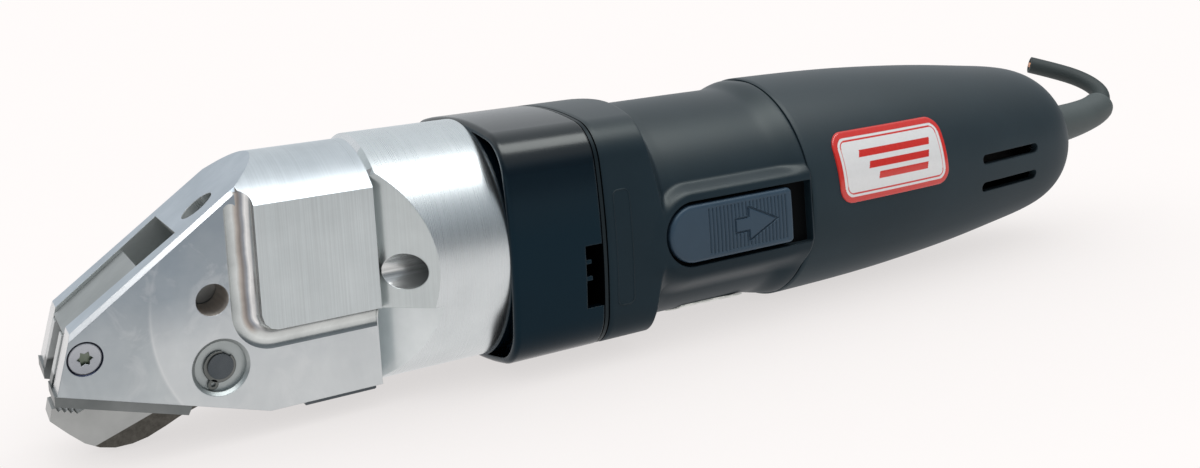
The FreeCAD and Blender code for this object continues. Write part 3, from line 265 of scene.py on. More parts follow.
mats = {}
mats["turned"] = metal("aluminium_turned", (0.685, 0.73, 0.745), 0.28, streak=(5200, 12, 12), amount=0.05, aniso=0.65, tangent="X", bump=0.20, depth=0.000012, lines=0.08)
mats["bar_top"] = metal("aluminium_turned_fine", (0.61, 0.66, 0.69), 0.30, streak=(3600, 10, 10), amount=0.06, aniso=0.6, tangent="X", bump=0.26, depth=0.000014, lines=0.16)
mats["flat"] = metal("aluminium_end_milled", (0.65, 0.70, 0.71), 0.38, streak=(2300, 2300, 22), amount=0.08, aniso=0.5, tangent=(0, 0, 1), bump=0.34, depth=0.000016, lines=0.22)
mats["slope"] = metal("aluminium_slope", (0.50, 0.56, 0.615), 0.34, streak=(60, 3600, 60), amount=0.06, bump=0.2, depth=0.000015, lines=0.14, blot=0.06)
mats["scoop"] = metal("aluminium_scoop", (0.62, 0.67, 0.675), 0.33, streak=(1300, 1300, 18), amount=0.06, bump=0.28, depth=0.000016, lines=0.16)
mats["scoop_low"] = swirl("aluminium_scoop_low", (0.76, 0.81, 0.82), 0.34, (20, 0, -40), freq=900.0, bump=0.2, blot=0.06)
mats["chamfer"] = metal("aluminium_chamfer", (0.86, 0.87, 0.88), 0.30, None, amount=0.05, bump=0.1)
mats["seat"] = metal("zinc_grey_seat", (0.46, 0.50, 0.50), 0.44, None, amount=0.06, bump=0.2, blot=0.05)
mats["bore"] = metal("aluminium_bore", (0.62, 0.575, 0.53), 0.42, streak=(1400, 30, 1400), amount=0.10, bump=0.4, blot=0.10, lines=0.3)
mats["bore"].set(Metallic=0.45)
mats["streaked"] = metal("aluminium_counterbore", (0.74, 0.76, 0.76), 0.26, streak=(10, 900, 900), amount=0.08, bump=0.5, depth=0.00004, lines=0.5, blot=0.08)
mats["streaked"].set(Metallic=0.82)
mats["screw_gap"] = metal("screw_seat_shadow", (0.035, 0.040, 0.065), 0.4, None, amount=0.05, blot=0.01)
mats["alu"] = metal("aluminium_milled", (0.78, 0.80, 0.81), 0.26, None, amount=0.05, bump=0.2)
mats["alu_pocket"] = metal("aluminium_pocket", (0.56, 0.585, 0.575), 0.55, streak=(900, 900, 2600), amount=0.08, bump=0.25, lines=0.1)
mats["blade"] = metal("tool_steel_ground", (0.20, 0.215, 0.215), 0.38, streak=(260, 3500, 3500), amount=0.08, bump=0.3, bevel=0.00015, depth=0.00001)
mats["lever_face"] = metal("tool_steel_lever", (0.42, 0.435, 0.43), 0.36, streak=(300, 3000, 3000), amount=0.08, bump=0.3, bevel=0.00015, depth=0.00001)
mats["steel"] = metal("bright_steel", (0.60, 0.62, 0.63), 0.28, None, amount=0.06, bevel=0.00015)
mats["bearing"] = metal("bearing_steel", (0.62, 0.63, 0.64), 0.18, None, amount=0.03, bevel=0.0002)
mats["gear"] = metal("gear_steel", (0.40, 0.41, 0.42), 0.33, streak=(2400, 60, 60), amount=0.06, bevel=0.0001)
mats["deflector"] = metal("deflector_steel", (0.40, 0.42, 0.415), 0.44, streak=(500, 3000, 500), amount=0.08)
mats["oxide"] = metal("black_oxide", (0.085, 0.098, 0.108), 0.28, None, amount=0.07, bevel=0.00025, blot=0.02)
mats["ring"] = metal("snap_ring_steel", (0.16, 0.17, 0.165), 0.30, None, amount=0.07, bevel=0.0001, blot=0.04)
mats["bronze"] = metal("sintered_bronze", (0.50, 0.34, 0.17), 0.45, None, amount=0.06)
mats["copper"] = metal("copper", (0.72, 0.34, 0.18), 0.35, streak=(1500, 300, 300), amount=0.08)
mats["lamination"] = metal("lamination_steel", (0.22, 0.22, 0.23), 0.5, streak=(1900, 5, 5), amount=0.1, bump=0.6, depth=0.00006)
# painted sheen: the facing ramps below give the plastics brighter, neutral tops and darker, bluer sides and undersides
mats["case"] = plastic("gear_case_satin", (0.0008, 0.0042, 0.0080), 0.21, grain=2600.0, bump=0.06, var=0.15, bevel=0.0006, spec=0.55, tint=(0.42, 0.80, 1.0))
facing_painted_sheen(mats["case"], [(-0.6, 0.20), (0.05, 0.34), (0.30, 0.62), (1.0, 0.75)], [(0.02, (0.34, 0.72, 1.0)), (0.42, (0.95, 1.0, 0.98))])
mats["grip"] = plastic("grip_plastic", (0.0105, 0.0200, 0.0270), 0.42, grain=3600.0, bump=0.20, spec=0.38, tint=(0.60, 0.85, 1.0))
facing_painted_sheen(mats["grip"], [(-0.5, 0.10), (0.02, 0.25), (0.40, 0.42), (0.95, 0.70)], [(0.05, (0.55, 0.82, 1.0)), (0.55, (0.92, 1.0, 0.97))])
mats["rear"] = plastic("rear_plastic", (0.0200, 0.0325, 0.0405), 0.46, grain=3400.0, bump=0.24, spec=0.36, tint=(0.70, 0.90, 1.0))
facing_painted_sheen(mats["rear"], [(-0.6, 0.08), (-0.2, 0.20), (0.30, 0.36), (0.95, 0.62)], [(0.05, (0.62, 0.86, 1.0)), (0.55, (0.95, 1.0, 0.98))])
mats["slot"] = plastic("slot_shadow", (0.0018, 0.0024, 0.0030), 0.7, spec=0.08)
mats["slider"] = plastic("slider_plastic", (0.034, 0.062, 0.094), 0.40, grain=3000.0, bump=0.10, bevel=0.0002, spec=0.40, tint=(0.8, 0.92, 1.0))
mats["dark"] = plastic("dark_plastic", (0.016, 0.017, 0.018), 0.5)
mats["carbon"] = plastic("carbon", (0.02, 0.02, 0.02), 0.65)
mats["can"] = plastic("capacitor_can", (0.45, 0.30, 0.05), 0.25, bump=0.03)
mats["rubber"] = plastic("cable_rubber", (0.034, 0.046, 0.046), 0.60, grain=2600.0, bump=0.25, var=0.15)
mats["sleeve"] = plastic("sleeve_rubber", (0.080, 0.098, 0.098), 0.58, grain=2600.0, bump=0.22)


def ear_material():
    """Face-milled ear with the round boundary that one cutter pass left and its swirl marks. Painted reflection makes
    it bluish and darker up the slope and paler at the foot."""
    M = swirl("aluminium_face_milled", (0.60, 0.645, 0.66), 0.32, (-38, 0, 75), freq=1100.0, bump=0.18, blot=0.05)
    pale = M.b.inputs["Base Color"].links[0].from_socket
    sep = M.n("ShaderNodeSeparateXYZ")
    M.link(M.coord(), sep.inputs[0])
    wob = M.noise(70.0, 4.0, 0.6)
    # painted reflection: bluish and darker up the face, paler at the foot
    up = M.math("MULTIPLY_ADD", sep.outputs[2], 26.0, 0.62)
    up = M.math("ADD", up, M.math("MULTIPLY_ADD", wob, 0.9, -0.45))
    cl = M.n("ShaderNodeClamp")
    M.link(up, cl.inputs[0])
    base = M.mix(cl.outputs[0], pale, (0.31, 0.365, 0.415))
    cloud = M.ramp(M.noise(1.0, 4.0, 0.6, vec=M.mapped((62.0, 62.0, 22.0)), dist=0.8), [(0.40, 0.0), (0.62, 1.0)])
    base = M.mix(M.math("MULTIPLY", cloud, 0.34), base, (0.33, 0.37, 0.40))
    pale_spots = M.ramp(M.noise(85.0, 5.0, 0.6, dist=1.6), [(0.55, 0.0), (0.66, 1.0)])
    base = M.mix(M.math("MULTIPLY", pale_spots, 0.20), base, (0.80, 0.82, 0.83))
    # painted reflection: brighter sweep behind the boundary towards the foot, and a painted highlight line along the
    # boundary
    c = mm(-16.85, 0, -3.54)
    dx = M.math("ADD", sep.outputs[0], -c[0])
    dz = M.math("ADD", sep.outputs[2], -c[2])
    d = M.math("SQRT", M.math("ADD", M.math("MULTIPLY", dx, dx), M.math("MULTIPLY", dz, dz)))
    e = M.math("MULTIPLY", M.math("ADD", d, -0.03713), 3000.0)
    side = M.n("ShaderNodeClamp")
    M.link(M.math("ADD", e, 0.5), side.inputs[0])
    low = M.n("ShaderNodeClamp")
    M.link(M.math("MULTIPLY_ADD", sep.outputs[2], -90.0, 0.2), low.inputs[0])
    inner = M.math("MULTIPLY", M.math("SUBTRACT", 1.0, side.outputs[0]), low.outputs[0])
    base = M.mix(M.math("MULTIPLY", inner, 0.42), base, (0.80, 0.83, 0.84))
    g = M.math("POWER", 2.718, M.math("MULTIPLY", M.math("MULTIPLY", e, e), -0.9))
    base = M.mix(M.math("MULTIPLY", M.math("MULTIPLY", g, 0.38), M.math("MULTIPLY_ADD", low.outputs[0], 0.8, 0.2)), base, (0.84, 0.86, 0.87))
    M.color(base)
    chain = M.b.inputs["Normal"].links[0].from_socket
    M.bump(side.outputs[0], 0.25, 0.00003, chain=chain)
    return M


mats["ear"] = ear_material()


def cove_material():
    """Polished groove with painted reflections: bright and dark bands run along it and round its corner,
    warm where they stand for its own far wall mirrored in it."""
    M = metal("aluminium_cove", (0.68, 0.69, 0.69), 0.20, None, amount=0.05, bump=0.4, blot=0.10, bevel=0.0)
    sep = M.n("ShaderNodeSeparateXYZ")
    M.link(M.coord(), sep.inputs[0])
    c = mm(-26.1, 0, -4.8)
    qx = M.math("SUBTRACT", c[0], sep.outputs[0])
    qz = M.math("SUBTRACT", c[2], sep.outputs[2])
    px, pz = M.math("MAXIMUM", qx, 0.0), M.math("MAXIMUM", qz, 0.0)
    ln = M.math("SQRT", M.math("ADD", M.math("MULTIPLY", px, px), M.math("MULTIPLY", pz, pz)))
    d = M.math("ADD", ln, M.math("MINIMUM", M.math("MAXIMUM", qx, qz), 0.0))
    d = M.math("ADD", d, -0.008)
    t = M.math("MULTIPLY", M.math("SUBTRACT", 0.00165, d), 1.0 / 0.00625)
    t = M.math("ADD", t, M.math("MULTIPLY_ADD", M.noise(110.0, 4.0, 0.6), 0.16, -0.08))
    # painted reflections: the ramps lay bright, dark and warm bands across the groove, the brightest above 1
    tall = M.ramp(t, [(0.0, (0.56, 0.60, 0.60)), (0.14, (0.70, 0.74, 0.74)), (0.34, (0.98, 1.02, 1.02)), (0.46, (0.72, 0.66, 0.61)), (0.56, (0.40, 0.36, 0.34)), (0.68, (0.46, 0.49, 0.54)), (0.78, (1.3, 1.3, 1.3)), (0.90, 0.92), (1.0, 0.66)])
    long = M.ramp(t, [(0.0, (0.66, 0.69, 0.69)), (0.16, (0.78, 0.82, 0.82)), (0.36, (1.04, 1.08, 1.07)), (0.56, (0.90, 0.93, 0.92)), (0.70, 0.62), (0.80, (0.44, 0.43, 0.41)), (0.90, (1.2, 1.2, 1.2)), (1.0, 0.85)])
    k = M.n("ShaderNodeClamp")
    M.link(M.math("MULTIPLY_ADD", M.math("SUBTRACT", qz, qx), 300.0, 0.5), k.inputs[0])
    col = M.mix(k.outputs[0], tall, long)
    mu = M.n("ShaderNodeMix", data_type="RGBA", blend_type="MULTIPLY")
    mu.inputs[0].default_value = 1.0
    M.link(M.b.inputs["Base Color"].links[0].from_socket, mu.inputs[6])
    M.link(col, mu.inputs[7])
    M.color(mu.outputs[2])
    return M


mats["cove"] = cove_material()


def label_foil():
    M = Mat("label_foil")
    M.set(Metallic=0.7, Roughness=0.38)
    v = M.mapped((260, 900, 900))
    blocks = M.noise(1.0, 2.0, 0.4, vec=v)
    M.color(M.mix(M.ramp(blocks, [(0.50, 0.0), (0.56, 1.0)]), (0.74, 0.76, 0.73), (0.44, 0.47, 0.45)))
    return M


mats["foil"] = label_foil()


def seam_plate():
    """The plate between gear case and grip, with the shadow of both joints on it."""
    M = plastic("joint_plate_satin", (0.006, 0.012, 0.016), 0.40, grain=2600.0, bump=0.1, spec=0.25, tint=(0.8, 0.95, 1.0))
    sep = M.n("ShaderNodeSeparateXYZ")
    M.link(M.coord(), sep.inputs[0])
    c = mm(58.4, 0, 0)[0]
    d = M.math("ABSOLUTE", M.math("ADD", sep.outputs[0], -c))
    cl = M.n("ShaderNodeClamp")
    M.link(M.math("MULTIPLY", M.math("ADD", d, -0.00042), 8000.0), cl.inputs[0])
    old = M.b.inputs["Base Color"].links[0].from_socket
    M.color(M.mix(cl.outputs[0], old, (0.0008, 0.001, 0.0012)))
    M.link(M.math("MULTIPLY_ADD", cl.outputs[0], -0.25, 0.25), M.b.inputs["Specular IOR Level"])
    return M


mats["plate"] = seam_plate()


def smooth(obj, angle=32.0):
    """Smooth shading with a sharp edge wherever two faces meet at more than angle."""
    me = obj.data
    me.polygons.foreach_set("use_smooth", [True] * len(me.polygons))
    me.set_sharp_from_angle(angle=math.radians(angle))


def paint(name, key):
    o = NODES[name]
    o.data.materials.clear()
    o.data.materials.append(mats[key].m)


# ------------------------------------------------------------------ CAD nodes
plan = {
    "near_fixed_blade": "blade", "far_fixed_blade": "blade", "moving_blade": "lever_face",
    "fixed_blade_screws": "steel", "chip_deflector": "deflector", "pivot_pin": "oxide", "pivot_circlips": "oxide",
    "pivot_washers": "bearing", "bottom_cover": "oxide", "head_screws": "oxide", "gear_case_screws": "steel",
    "gear_case": "case", "joint_plate": "plate", "output_gear": "gear", "lay_shaft": "gear", "lay_gear": "gear",
    "lay_shaft_bush": "bronze", "eccentric_shaft": "gear", "eccentric_roller": "bearing",
    "armature_shaft": "gear", "armature_core": "lamination", "armature_windings": "copper", "commutator": "copper",
    "cooling_fan": "dark", "field_core": "lamination", "field_windings": "copper", "rear_bearing_bracket": "dark",
    "carbon_brushes": "carbon", "brush_holders": "bronze", "brush_springs": "steel", "switch_rod": "dark",
    "switch_block": "dark", "suppressor_capacitor": "can", "terminal_block": "dark", "cable_clamp": "dark",
    "cable_cores": "copper", "rating_plate": "foil",
}
for n in NODES:
    if n.endswith("_bearing_outer") or n.endswith("_bearing_inner"):
        plan[n] = "bearing"
for n, key in plan.items():
    if n in NODES:
        paint(n, key)


def paint_head(o):
    """The head is one billet, and each cutter left its own marks on it."""
    me = o.data
    me.materials.clear()
    keys = ["alu", "turned", "bar_top", "flat", "ear", "slope", "scoop", "alu_pocket", "cove", "chamfer", "seat", "bore", "screw_gap", "scoop_low", "streaked"]
    idx = {k: i for i, k in enumerate(keys)}
    for k in keys:
        me.materials.append(mats[k].m)
    for p in me.polygons:
        c, n = p.center * 1000.0, p.normal
        x, y, z = c.x + BX, c.y, c.z
        r = math.hypot(y, z)
        rn = (n.y * y + n.z * z) / r if r > 1e-6 else 0.0
        ay = abs(y)
        k = "alu"
        d_pivot = math.hypot(x + 39.0, z + 16.3)
        d_screw = math.hypot(x + 68.3, z + 7.8)
        d_cross = math.hypot(x + 39.8, z)
        d_cb = math.hypot(ay - 25.8, z + 0.4)

        def inward(cx, cz, dd):
            return dd > 0.1 and (n.x * (x - cx) + n.z * (z - cz)) / dd < -0.25

        if ay > 15.5 and d_pivot < 7.35 and not (abs(n.y) > 0.995 and ay > 18.9):
            k = "seat"
        elif ay > 12 and d_screw < 4.5 and inward(-68.3, -7.8, d_screw):
            k = "screw_gap"
        elif d_cross < 3.95 and abs(n.y) < 0.3 and inward(-39.8, 0.0, d_cross):
            k = "bore"
        elif d_cb < 4.6 and -1.0 < x < 23.0 and abs(n.x) < 0.3:
            k = "streaked"
        elif x > 1.0 and r > 32.0 and rn > 0.98:
            k = "turned"
        elif x < 0.2 and r > 30.9 and rn > 0.98:
            k = "bar_top"
        elif abs(n.y) > 0.995 and abs(ay - 23.0) < 0.08:
            k = "flat"
        elif abs(n.y) > 0.995 and abs(ay - 19.0) < 0.08:
            k = "ear"
        elif 18.4 < ay < 23.2 and -38.0 < x < 0.5 and -18.0 < z < 30 and r < 33.0:
            k = "cove"
        elif n.x < -0.4 and n.z > 0.6 and abs(n.y) < 0.05 and x < -20:
            k = "slope"
        elif n.x < -0.2 and n.z > 0.2 and r > 26.0 and x < -28.0:
            k = "slope"
        elif n.x < -0.3 and n.z > 0.2 and 0.3 < abs(n.y) < 0.95 and ay > 17.5 and x < -20:
            k = "chamfer"
        elif 0.0 <= x < 24.0 and ay > 12.0 and r < 32.4 and abs(n.x) < 0.98:
            k = "scoop" if z > -9.5 else "scoop_low"
        elif x < -36 and ay < 14.6 and abs(n.x) < 0.9:
            k = "alu_pocket"
        p.material_index = idx[k]


paint_head(NODES["head_body"])


def paint_lever():
    """Ground cutting face in front, as-forged steel behind a slanted line, with painted shade taking the as-forged part
    to near-black towards the foot.
    """
    M = mats["lever_face"]
    o = NODES["moving_blade"]
    sep = M.n("ShaderNodeSeparateXYZ")
    M.link(M.coord(), sep.inputs[0])
    x0, z0 = mm(-66.5, 0, -32.6)[0], mm(-66.5, 0, -32.6)[2]
    x1, z1 = mm(-54.0, 0, -28.2)[0], mm(-54.0, 0, -28.2)[2]
    nx, nz = -(z1 - z0), (x1 - x0)
    ln = math.hypot(nx, nz)
    nx, nz = nx / ln, nz / ln
    d = M.math("ADD", M.math("MULTIPLY", sep.outputs[0], nx), M.math("MULTIPLY", sep.outputs[2], nz))
    off = -(x0 * nx + z0 * nz)
    d = M.math("ADD", d, off)
    fac = M.math("MULTIPLY", M.math("MULTIPLY", d, -1.0), 9000.0)
    cl = M.n("ShaderNodeClamp")
    M.link(fac, cl.inputs[0])
    old = M.b.inputs["Base Color"].links[0].from_socket
    # painted shade: between about z -13 mm and -22 mm the as-forged part darkens to near-black
    high = M.n("ShaderNodeClamp")
    M.link(M.math("MULTIPLY_ADD", sep.outputs[2], 120.0, 2.6), high.inputs[0])
    dark = M.mix(M.noise(900.0, 5.0, 0.7), (0.030, 0.028, 0.024), (0.15, 0.145, 0.13))
    dark = M.mix(high.outputs[0], dark, M.mix(M.noise(1600.0, 4.0, 0.7), (0.42, 0.385, 0.34), (0.62, 0.58, 0.53)))
    M.color(M.mix(cl.outputs[0], old, dark))


paint_lever()


def paint_fixed_blades():
    """The clamped part of each fixed blade is bright, its working edge dark."""
    M = mats["blade"]
    sep = M.n("ShaderNodeSeparateXYZ")
    M.link(M.coord(), sep.inputs[0])
    cl = M.n("ShaderNodeClamp")
    M.link(M.math("MULTIPLY", M.math("ADD", sep.outputs[2], 0.0128), 1500.0), cl.inputs[0])
    old = M.b.inputs["Base Color"].links[0].from_socket
    M.color(M.mix(cl.outputs[0], old, (0.66, 0.68, 0.68)))
    M.link(M.math("MULTIPLY_ADD", cl.outputs[0], -0.35, 1.0), M.b.inputs["Metallic"])


def paint_screws():
    """Zinc-bright heads; the driver recess is painted dark for its shade."""
    me = NODES["fixed_blade_screws"].data
    me.materials.clear()
    for k in ("screw_head", "screw_recess_painted_shade"):
        me.materials.append(mats[k].m)
    for p in me.polygons:
        c = p.center * 1000.0
        x, ay, z = c.x + BX, abs(c.y), c.z
        d = math.hypot(x + 68.3, z + 7.8)
        # painted shade: faces inside the driver recess take the dark recess material
        p.material_index = 1 if d < 2.0 and ay < 18.75 else 0


mats["screw_head"] = metal("screw_head_zinc", (0.46, 0.485, 0.52), 0.30, None, amount=0.08, bevel=0.0004, blot=0.10, bump=0.5)
mats["screw_recess_painted_shade"] = metal("screw_recess_painted_shade", (0.16, 0.19, 0.15), 0.30, None, amount=0.08, bevel=0.0002, blot=0.10, bump=0.5)
paint_fixed_blades()
paint_screws()
for n, o in NODES.items():
    smooth(o, 24.0)


# ------------------------------------------------------------------ mesh tools
def new_object(name, verts, faces, mat, angle=35.0):
    me = bpy.data.meshes.new(name)
    me.from_pydata([tuple(v) for v in verts], [], [tuple(int(i) for i in f) for f in faces])
    me.validate()
    me.update()
    o = bpy.data.objects.new(name, me)
    scene.collection.objects.link(o)
    bm = bmesh.new()
    bm.from_mesh(me)
    bmesh.ops.recalc_face_normals(bm, faces=bm.faces)
    bm.to_mesh(me)
    bm.free()
    if mat is not None:
        me.materials.append(mats[mat].m if isinstance(mat, str) else mat)
    smooth(o, angle)
    return o


def ring_faces(nu, nv, first=0):
    """Quads of a tube of nu rings with nv points each."""
    f = []
    for i in range(nu - 1):
        for j in range(nv):
            a = first + i * nv + j
            b = first + i * nv + (j + 1) % nv
            f.append((a, b, b + nv, a + nv))
    return f


def prism_object(name, pts, y0, y1):
    """An XZ outline pushed through in Y, shoulder frame in mm."""
    n = len(pts)
    v = [mm(x, y0, z) for x, z in pts] + [mm(x, y1, z) for x, z in pts]
    f = [tuple(range(n)), tuple(range(2 * n - 1, n - 1, -1))]
    f += [(i, (i + 1) % n, n + (i + 1) % n, n + i) for i in range(n)]
    return new_object(name, v, f, None)


def boolean(obj, cutters, op="DIFFERENCE"):
    for c in cutters:
        m = obj.modifiers.new("cut", "BOOLEAN")
        m.operation = op
        m.solver = "EXACT"
        m.object = c
    dg = bpy.context.evaluated_depsgraph_get()
    me = bpy.data.meshes.new_from_object(obj.evaluated_get(dg))
    obj.modifiers.clear()
    old = obj.data
    obj.data = me
    bpy.data.meshes.remove(old)
    for c in cutters:
        cm = c.data
        bpy.data.objects.remove(c)
        bpy.data.meshes.remove(cm)
    return obj


def sstep(a, b, x):
    t = np.clip((x - a) / (b - a), 0.0, 1.0)
    return t * t * (3 - 2 * t)


def spline(xs, ys, x):
    """Natural cubic through the points."""
    xs, ys, x = np.asarray(xs, float), np.asarray(ys, float), np.asarray(x, float)
    n = len(xs)
    h = np.diff(xs)
    A = np.eye(n)
    r = np.zeros(n)
    for i in range(1, n - 1):
        A[i, i - 1 : i + 2] = h[i - 1], 2 * (h[i - 1] + h[i]), h[i]
        r[i] = 3 * ((ys[i + 1] - ys[i]) / h[i] - (ys[i] - ys[i - 1]) / h[i - 1])
    c = np.linalg.solve(A, r)
    k = np.clip(np.searchsorted(xs, x) - 1, 0, n - 2)
    t = x - xs[k]
    b = (ys[k + 1] - ys[k]) / h[k] - h[k] * (2 * c[k] + c[k + 1]) / 3
    d = (c[k + 1] - c[k]) / (3 * h[k])
    return ys[k] + b * t + c[k] * t * t + d * t ** 3


def crowned_r(a, W=34.0, H=32.8, RS=150.0, RT=120.0, c=12.0):
    """Radius of the crowned square section at angle a."""
    p, q = W - c, H - c
    for _ in range(60):
        p = W - RS + math.sqrt((RS - c) ** 2 - q * q)
        q = H - RT + math.sqrt((RT - c) ** 2 - p * p)
    aS = math.atan2(q, p - (W - RS))
    aT = math.atan2(q - (H - RT), p)
    t1 = math.atan2(RS * math.sin(aS), W - RS + RS * math.cos(aS))
    t2 = math.atan2(H - RT + RT * math.sin(aT), RT * math.cos(aT))
    u, v = np.abs(np.cos(a)), np.abs(np.sin(a))
    th = np.arctan2(v, u)
    cs, ct = W - RS, H - RT
    rs = u * cs + np.sqrt(np.maximum((u * cs) ** 2 - cs * cs + RS * RS, 0))
    rt = v * ct + np.sqrt(np.maximum((v * ct) ** 2 - ct * ct + RT * RT, 0))
    bb = u * p + v * q
    rc = bb + np.sqrt(np.maximum(bb * bb - p * p - q * q + c * c, 0))
    return np.where(th < t1, rs, np.where(th > t2, rt, rc))


def slot_outline(x0, x1, zc, half, rear=1.6, n=14):
    """Outline with a round front end and small rear corners."""
    pts = []
    for i in range(n * 2 + 1):
        a = math.pi / 2 + math.pi * i / (2 * n)
        pts.append((x0 + half + half * math.cos(a), zc + half * math.sin(a)))
    for i in range(7):
        a = -math.pi / 2 + (math.pi / 2) * i / 6
        pts.append((x1 - rear + rear * math.cos(a), zc - half + rear + rear * math.sin(a)))
    for i in range(7):
        a = (math.pi / 2) * i / 6
        pts.append((x1 - rear + rear * math.cos(a), zc + half - rear + rear * math.sin(a)))
    return pts


# ------------------------------------------------------------------ head
def ball_groove(name, side):
    """The path of a ball-nosed cutter round the foot of the raised flat."""
    rad, yc = 3.8, 22.45
    pts = [(-34.1, z) for z in np.linspace(20.3, -4.8, 30)]
    pts += [(-26.1 - 8.0 * math.cos(t), -4.8 - 8.0 * math.sin(t)) for t in np.linspace(0, math.pi / 2, 25)[1:]]
    pts += [(x, -12.8) for x in np.linspace(-26.1, -0.35, 26)[1:]]
    rows, na = [], 64
    a = 2 * np.pi * np.arange(na) / na
    # round start: rings shrink towards the pole above the first point
    for q in np.linspace(0.03, math.pi / 2, 14)[:-1]:
        rows.append([(-34.1 + rad * math.sin(q) * math.cos(b), side * (yc + rad * math.sin(q) * math.sin(b)), 20.3 + rad * math.cos(q)) for b in a])
    for i, (x, z) in enumerate(pts):
        x0, z0 = pts[max(i - 1, 0)]
        x1, z1 = pts[min(i + 1, len(pts) - 1)]
        ln = math.hypot(x1 - x0, z1 - z0)
        tx, tz = (x1 - x0) / ln, (z1 - z0) / ln
        rows.append([(x - tz * rad * math.cos(b), side * (yc + rad * math.sin(b)), z + tx * rad * math.cos(b)) for b in a])
    V = [mm(*p) for row in rows for p in row]
    n = len(rows)
    F = ring_faces(n, na)
    F += [tuple(range(na)), tuple((n - 1) * na + k for k in range(na - 1, -1, -1))]
    return new_object(name, V, F, None)


def build_head():
    """The billet, with the slope run out through the round bar and the groove
    left by the ball-nosed cutter."""
    src = NODES["head_body"]
    o = src.copy()
    o.data = src.data.copy()
    o.name = "head_billet"
    o.parent = None
    o.matrix_world = src.matrix_world.copy()
    for k in list(o.keys()):
        if k.startswith("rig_"):
            del o[k]
    scene.collection.objects.link(o)
    zs = lambda x: (39.605 + 0.58 * x) / 0.81 + 0.02
    cut = prism_object("slope_cut", [(-30.2, zs(-30.2)), (-18.0, zs(-18.0)), (-18.0, 42.0), (-30.2, 42.0)], -34.0, 34.0)
    boolean(o, [cut, ball_groove("groove_near", -1), ball_groove("groove_far", 1)])
    paint_head(o)
    me = o.data
    names = [m.name for m in me.materials]
    round_keys = {mats["turned"].m.name, mats["bar_top"].m.name}
    flat_keys = {mats[k].m.name for k in ("ear", "flat", "slope", "chamfer")}
    kinds = []
    for p in me.polygons:
        nm = names[p.material_index]
        big = max(abs(v) for v in p.normal) > 0.9995 and nm not in (mats["cove"].m.name, mats["turned"].m.name, mats["bar_top"].m.name)
        kinds.append("round" if nm in round_keys else "flat" if nm in flat_keys or big else "free")
    me.polygons.foreach_set("use_smooth", [k != "flat" for k in kinds])
    me.set_sharp_from_angle(angle=math.radians(24.0))
    me.update()
    corner = [tuple(c.vector) for c in me.corner_normals]
    # where the billet is untouched, its own surface normals carry over
    old = {}
    was = src.data.corner_normals
    for p in src.data.polygons:
        n = p.normal.copy()
        for li in p.loop_indices:
            key = tuple(round(c * 1e6) for c in src.data.vertices[src.data.loops[li].vertex_index].co)
            old.setdefault(key, []).append((n, was[li].vector.copy()))
    for p, k in zip(me.polygons, kinds):
        if k != "free":
            continue
        for li in p.loop_indices:
            key = tuple(round(c * 1e6) for c in me.vertices[me.loops[li].vertex_index].co)
            best = max(old.get(key, [(p.normal * -1, None)]), key=lambda q: q[0].dot(p.normal))
            if best[1] is not None and best[0].dot(p.normal) > 0.9995:
                corner[li] = tuple(best[1])
    for p, k in zip(me.polygons, kinds):
        for li in p.loop_indices:
            if k == "flat":
                corner[li] = tuple(p.normal)
            elif k == "round":
                v = me.vertices[me.loops[li].vertex_index].co
                q = Vector((0.0, v.y, v.z)).normalized()
                corner[li] = tuple(q)
    me.normals_split_custom_set(corner)
    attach(o, "tool")
    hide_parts("head_body")
    return o


build_head()


def build_bottom_plate():
    """Blackened cover under the head, nearly as wide as the billet, its rim broken."""
    c, z0, z1 = 0.25, -30.7, -29.4
    V, F = [], []
    for z, d in ((z1, 0.0), (z0 + c, 0.0), (z0, c)):
        for x, y in ((-19.6 + d, -17.6 + d), (-1.4 - d, -17.6 + d), (-1.4 - d, 17.6 - d), (-19.6 + d, 17.6 - d)):
            V.append(mm(x, y, z))
    F = ring_faces(3, 4) + [(0, 1, 2, 3), (11, 10, 9, 8)]
    o = new_object("bottom_plate", V, F, "oxide", 20.0)
    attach(o, "tool")
    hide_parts("bottom_cover")


build_bottom_plate()


# ------------------------------------------------------------------ grip housing
LIM_X = [69.9, 72.4, 73.3, 74.5, 75.8, 77.2, 78.5, 79.8, 83.0, 90.0, 104.0, 112.0, 118.4, 120.8, 122.6, 124.6, 126.8, 128.8]
LIM_R = [60.0, 46.0, 42.6, 39.0, 36.3, 34.2, 32.8, 31.86, 31.72, 31.75, 31.80, 31.80, 31.84, 32.05, 32.55, 33.25, 33.8, 34.0]


def soft_min(a, b, h):
    m = np.minimum(a, b)
    return m - h * np.log(np.exp(-(a - m) / h) + np.exp(-(b - m) / h))


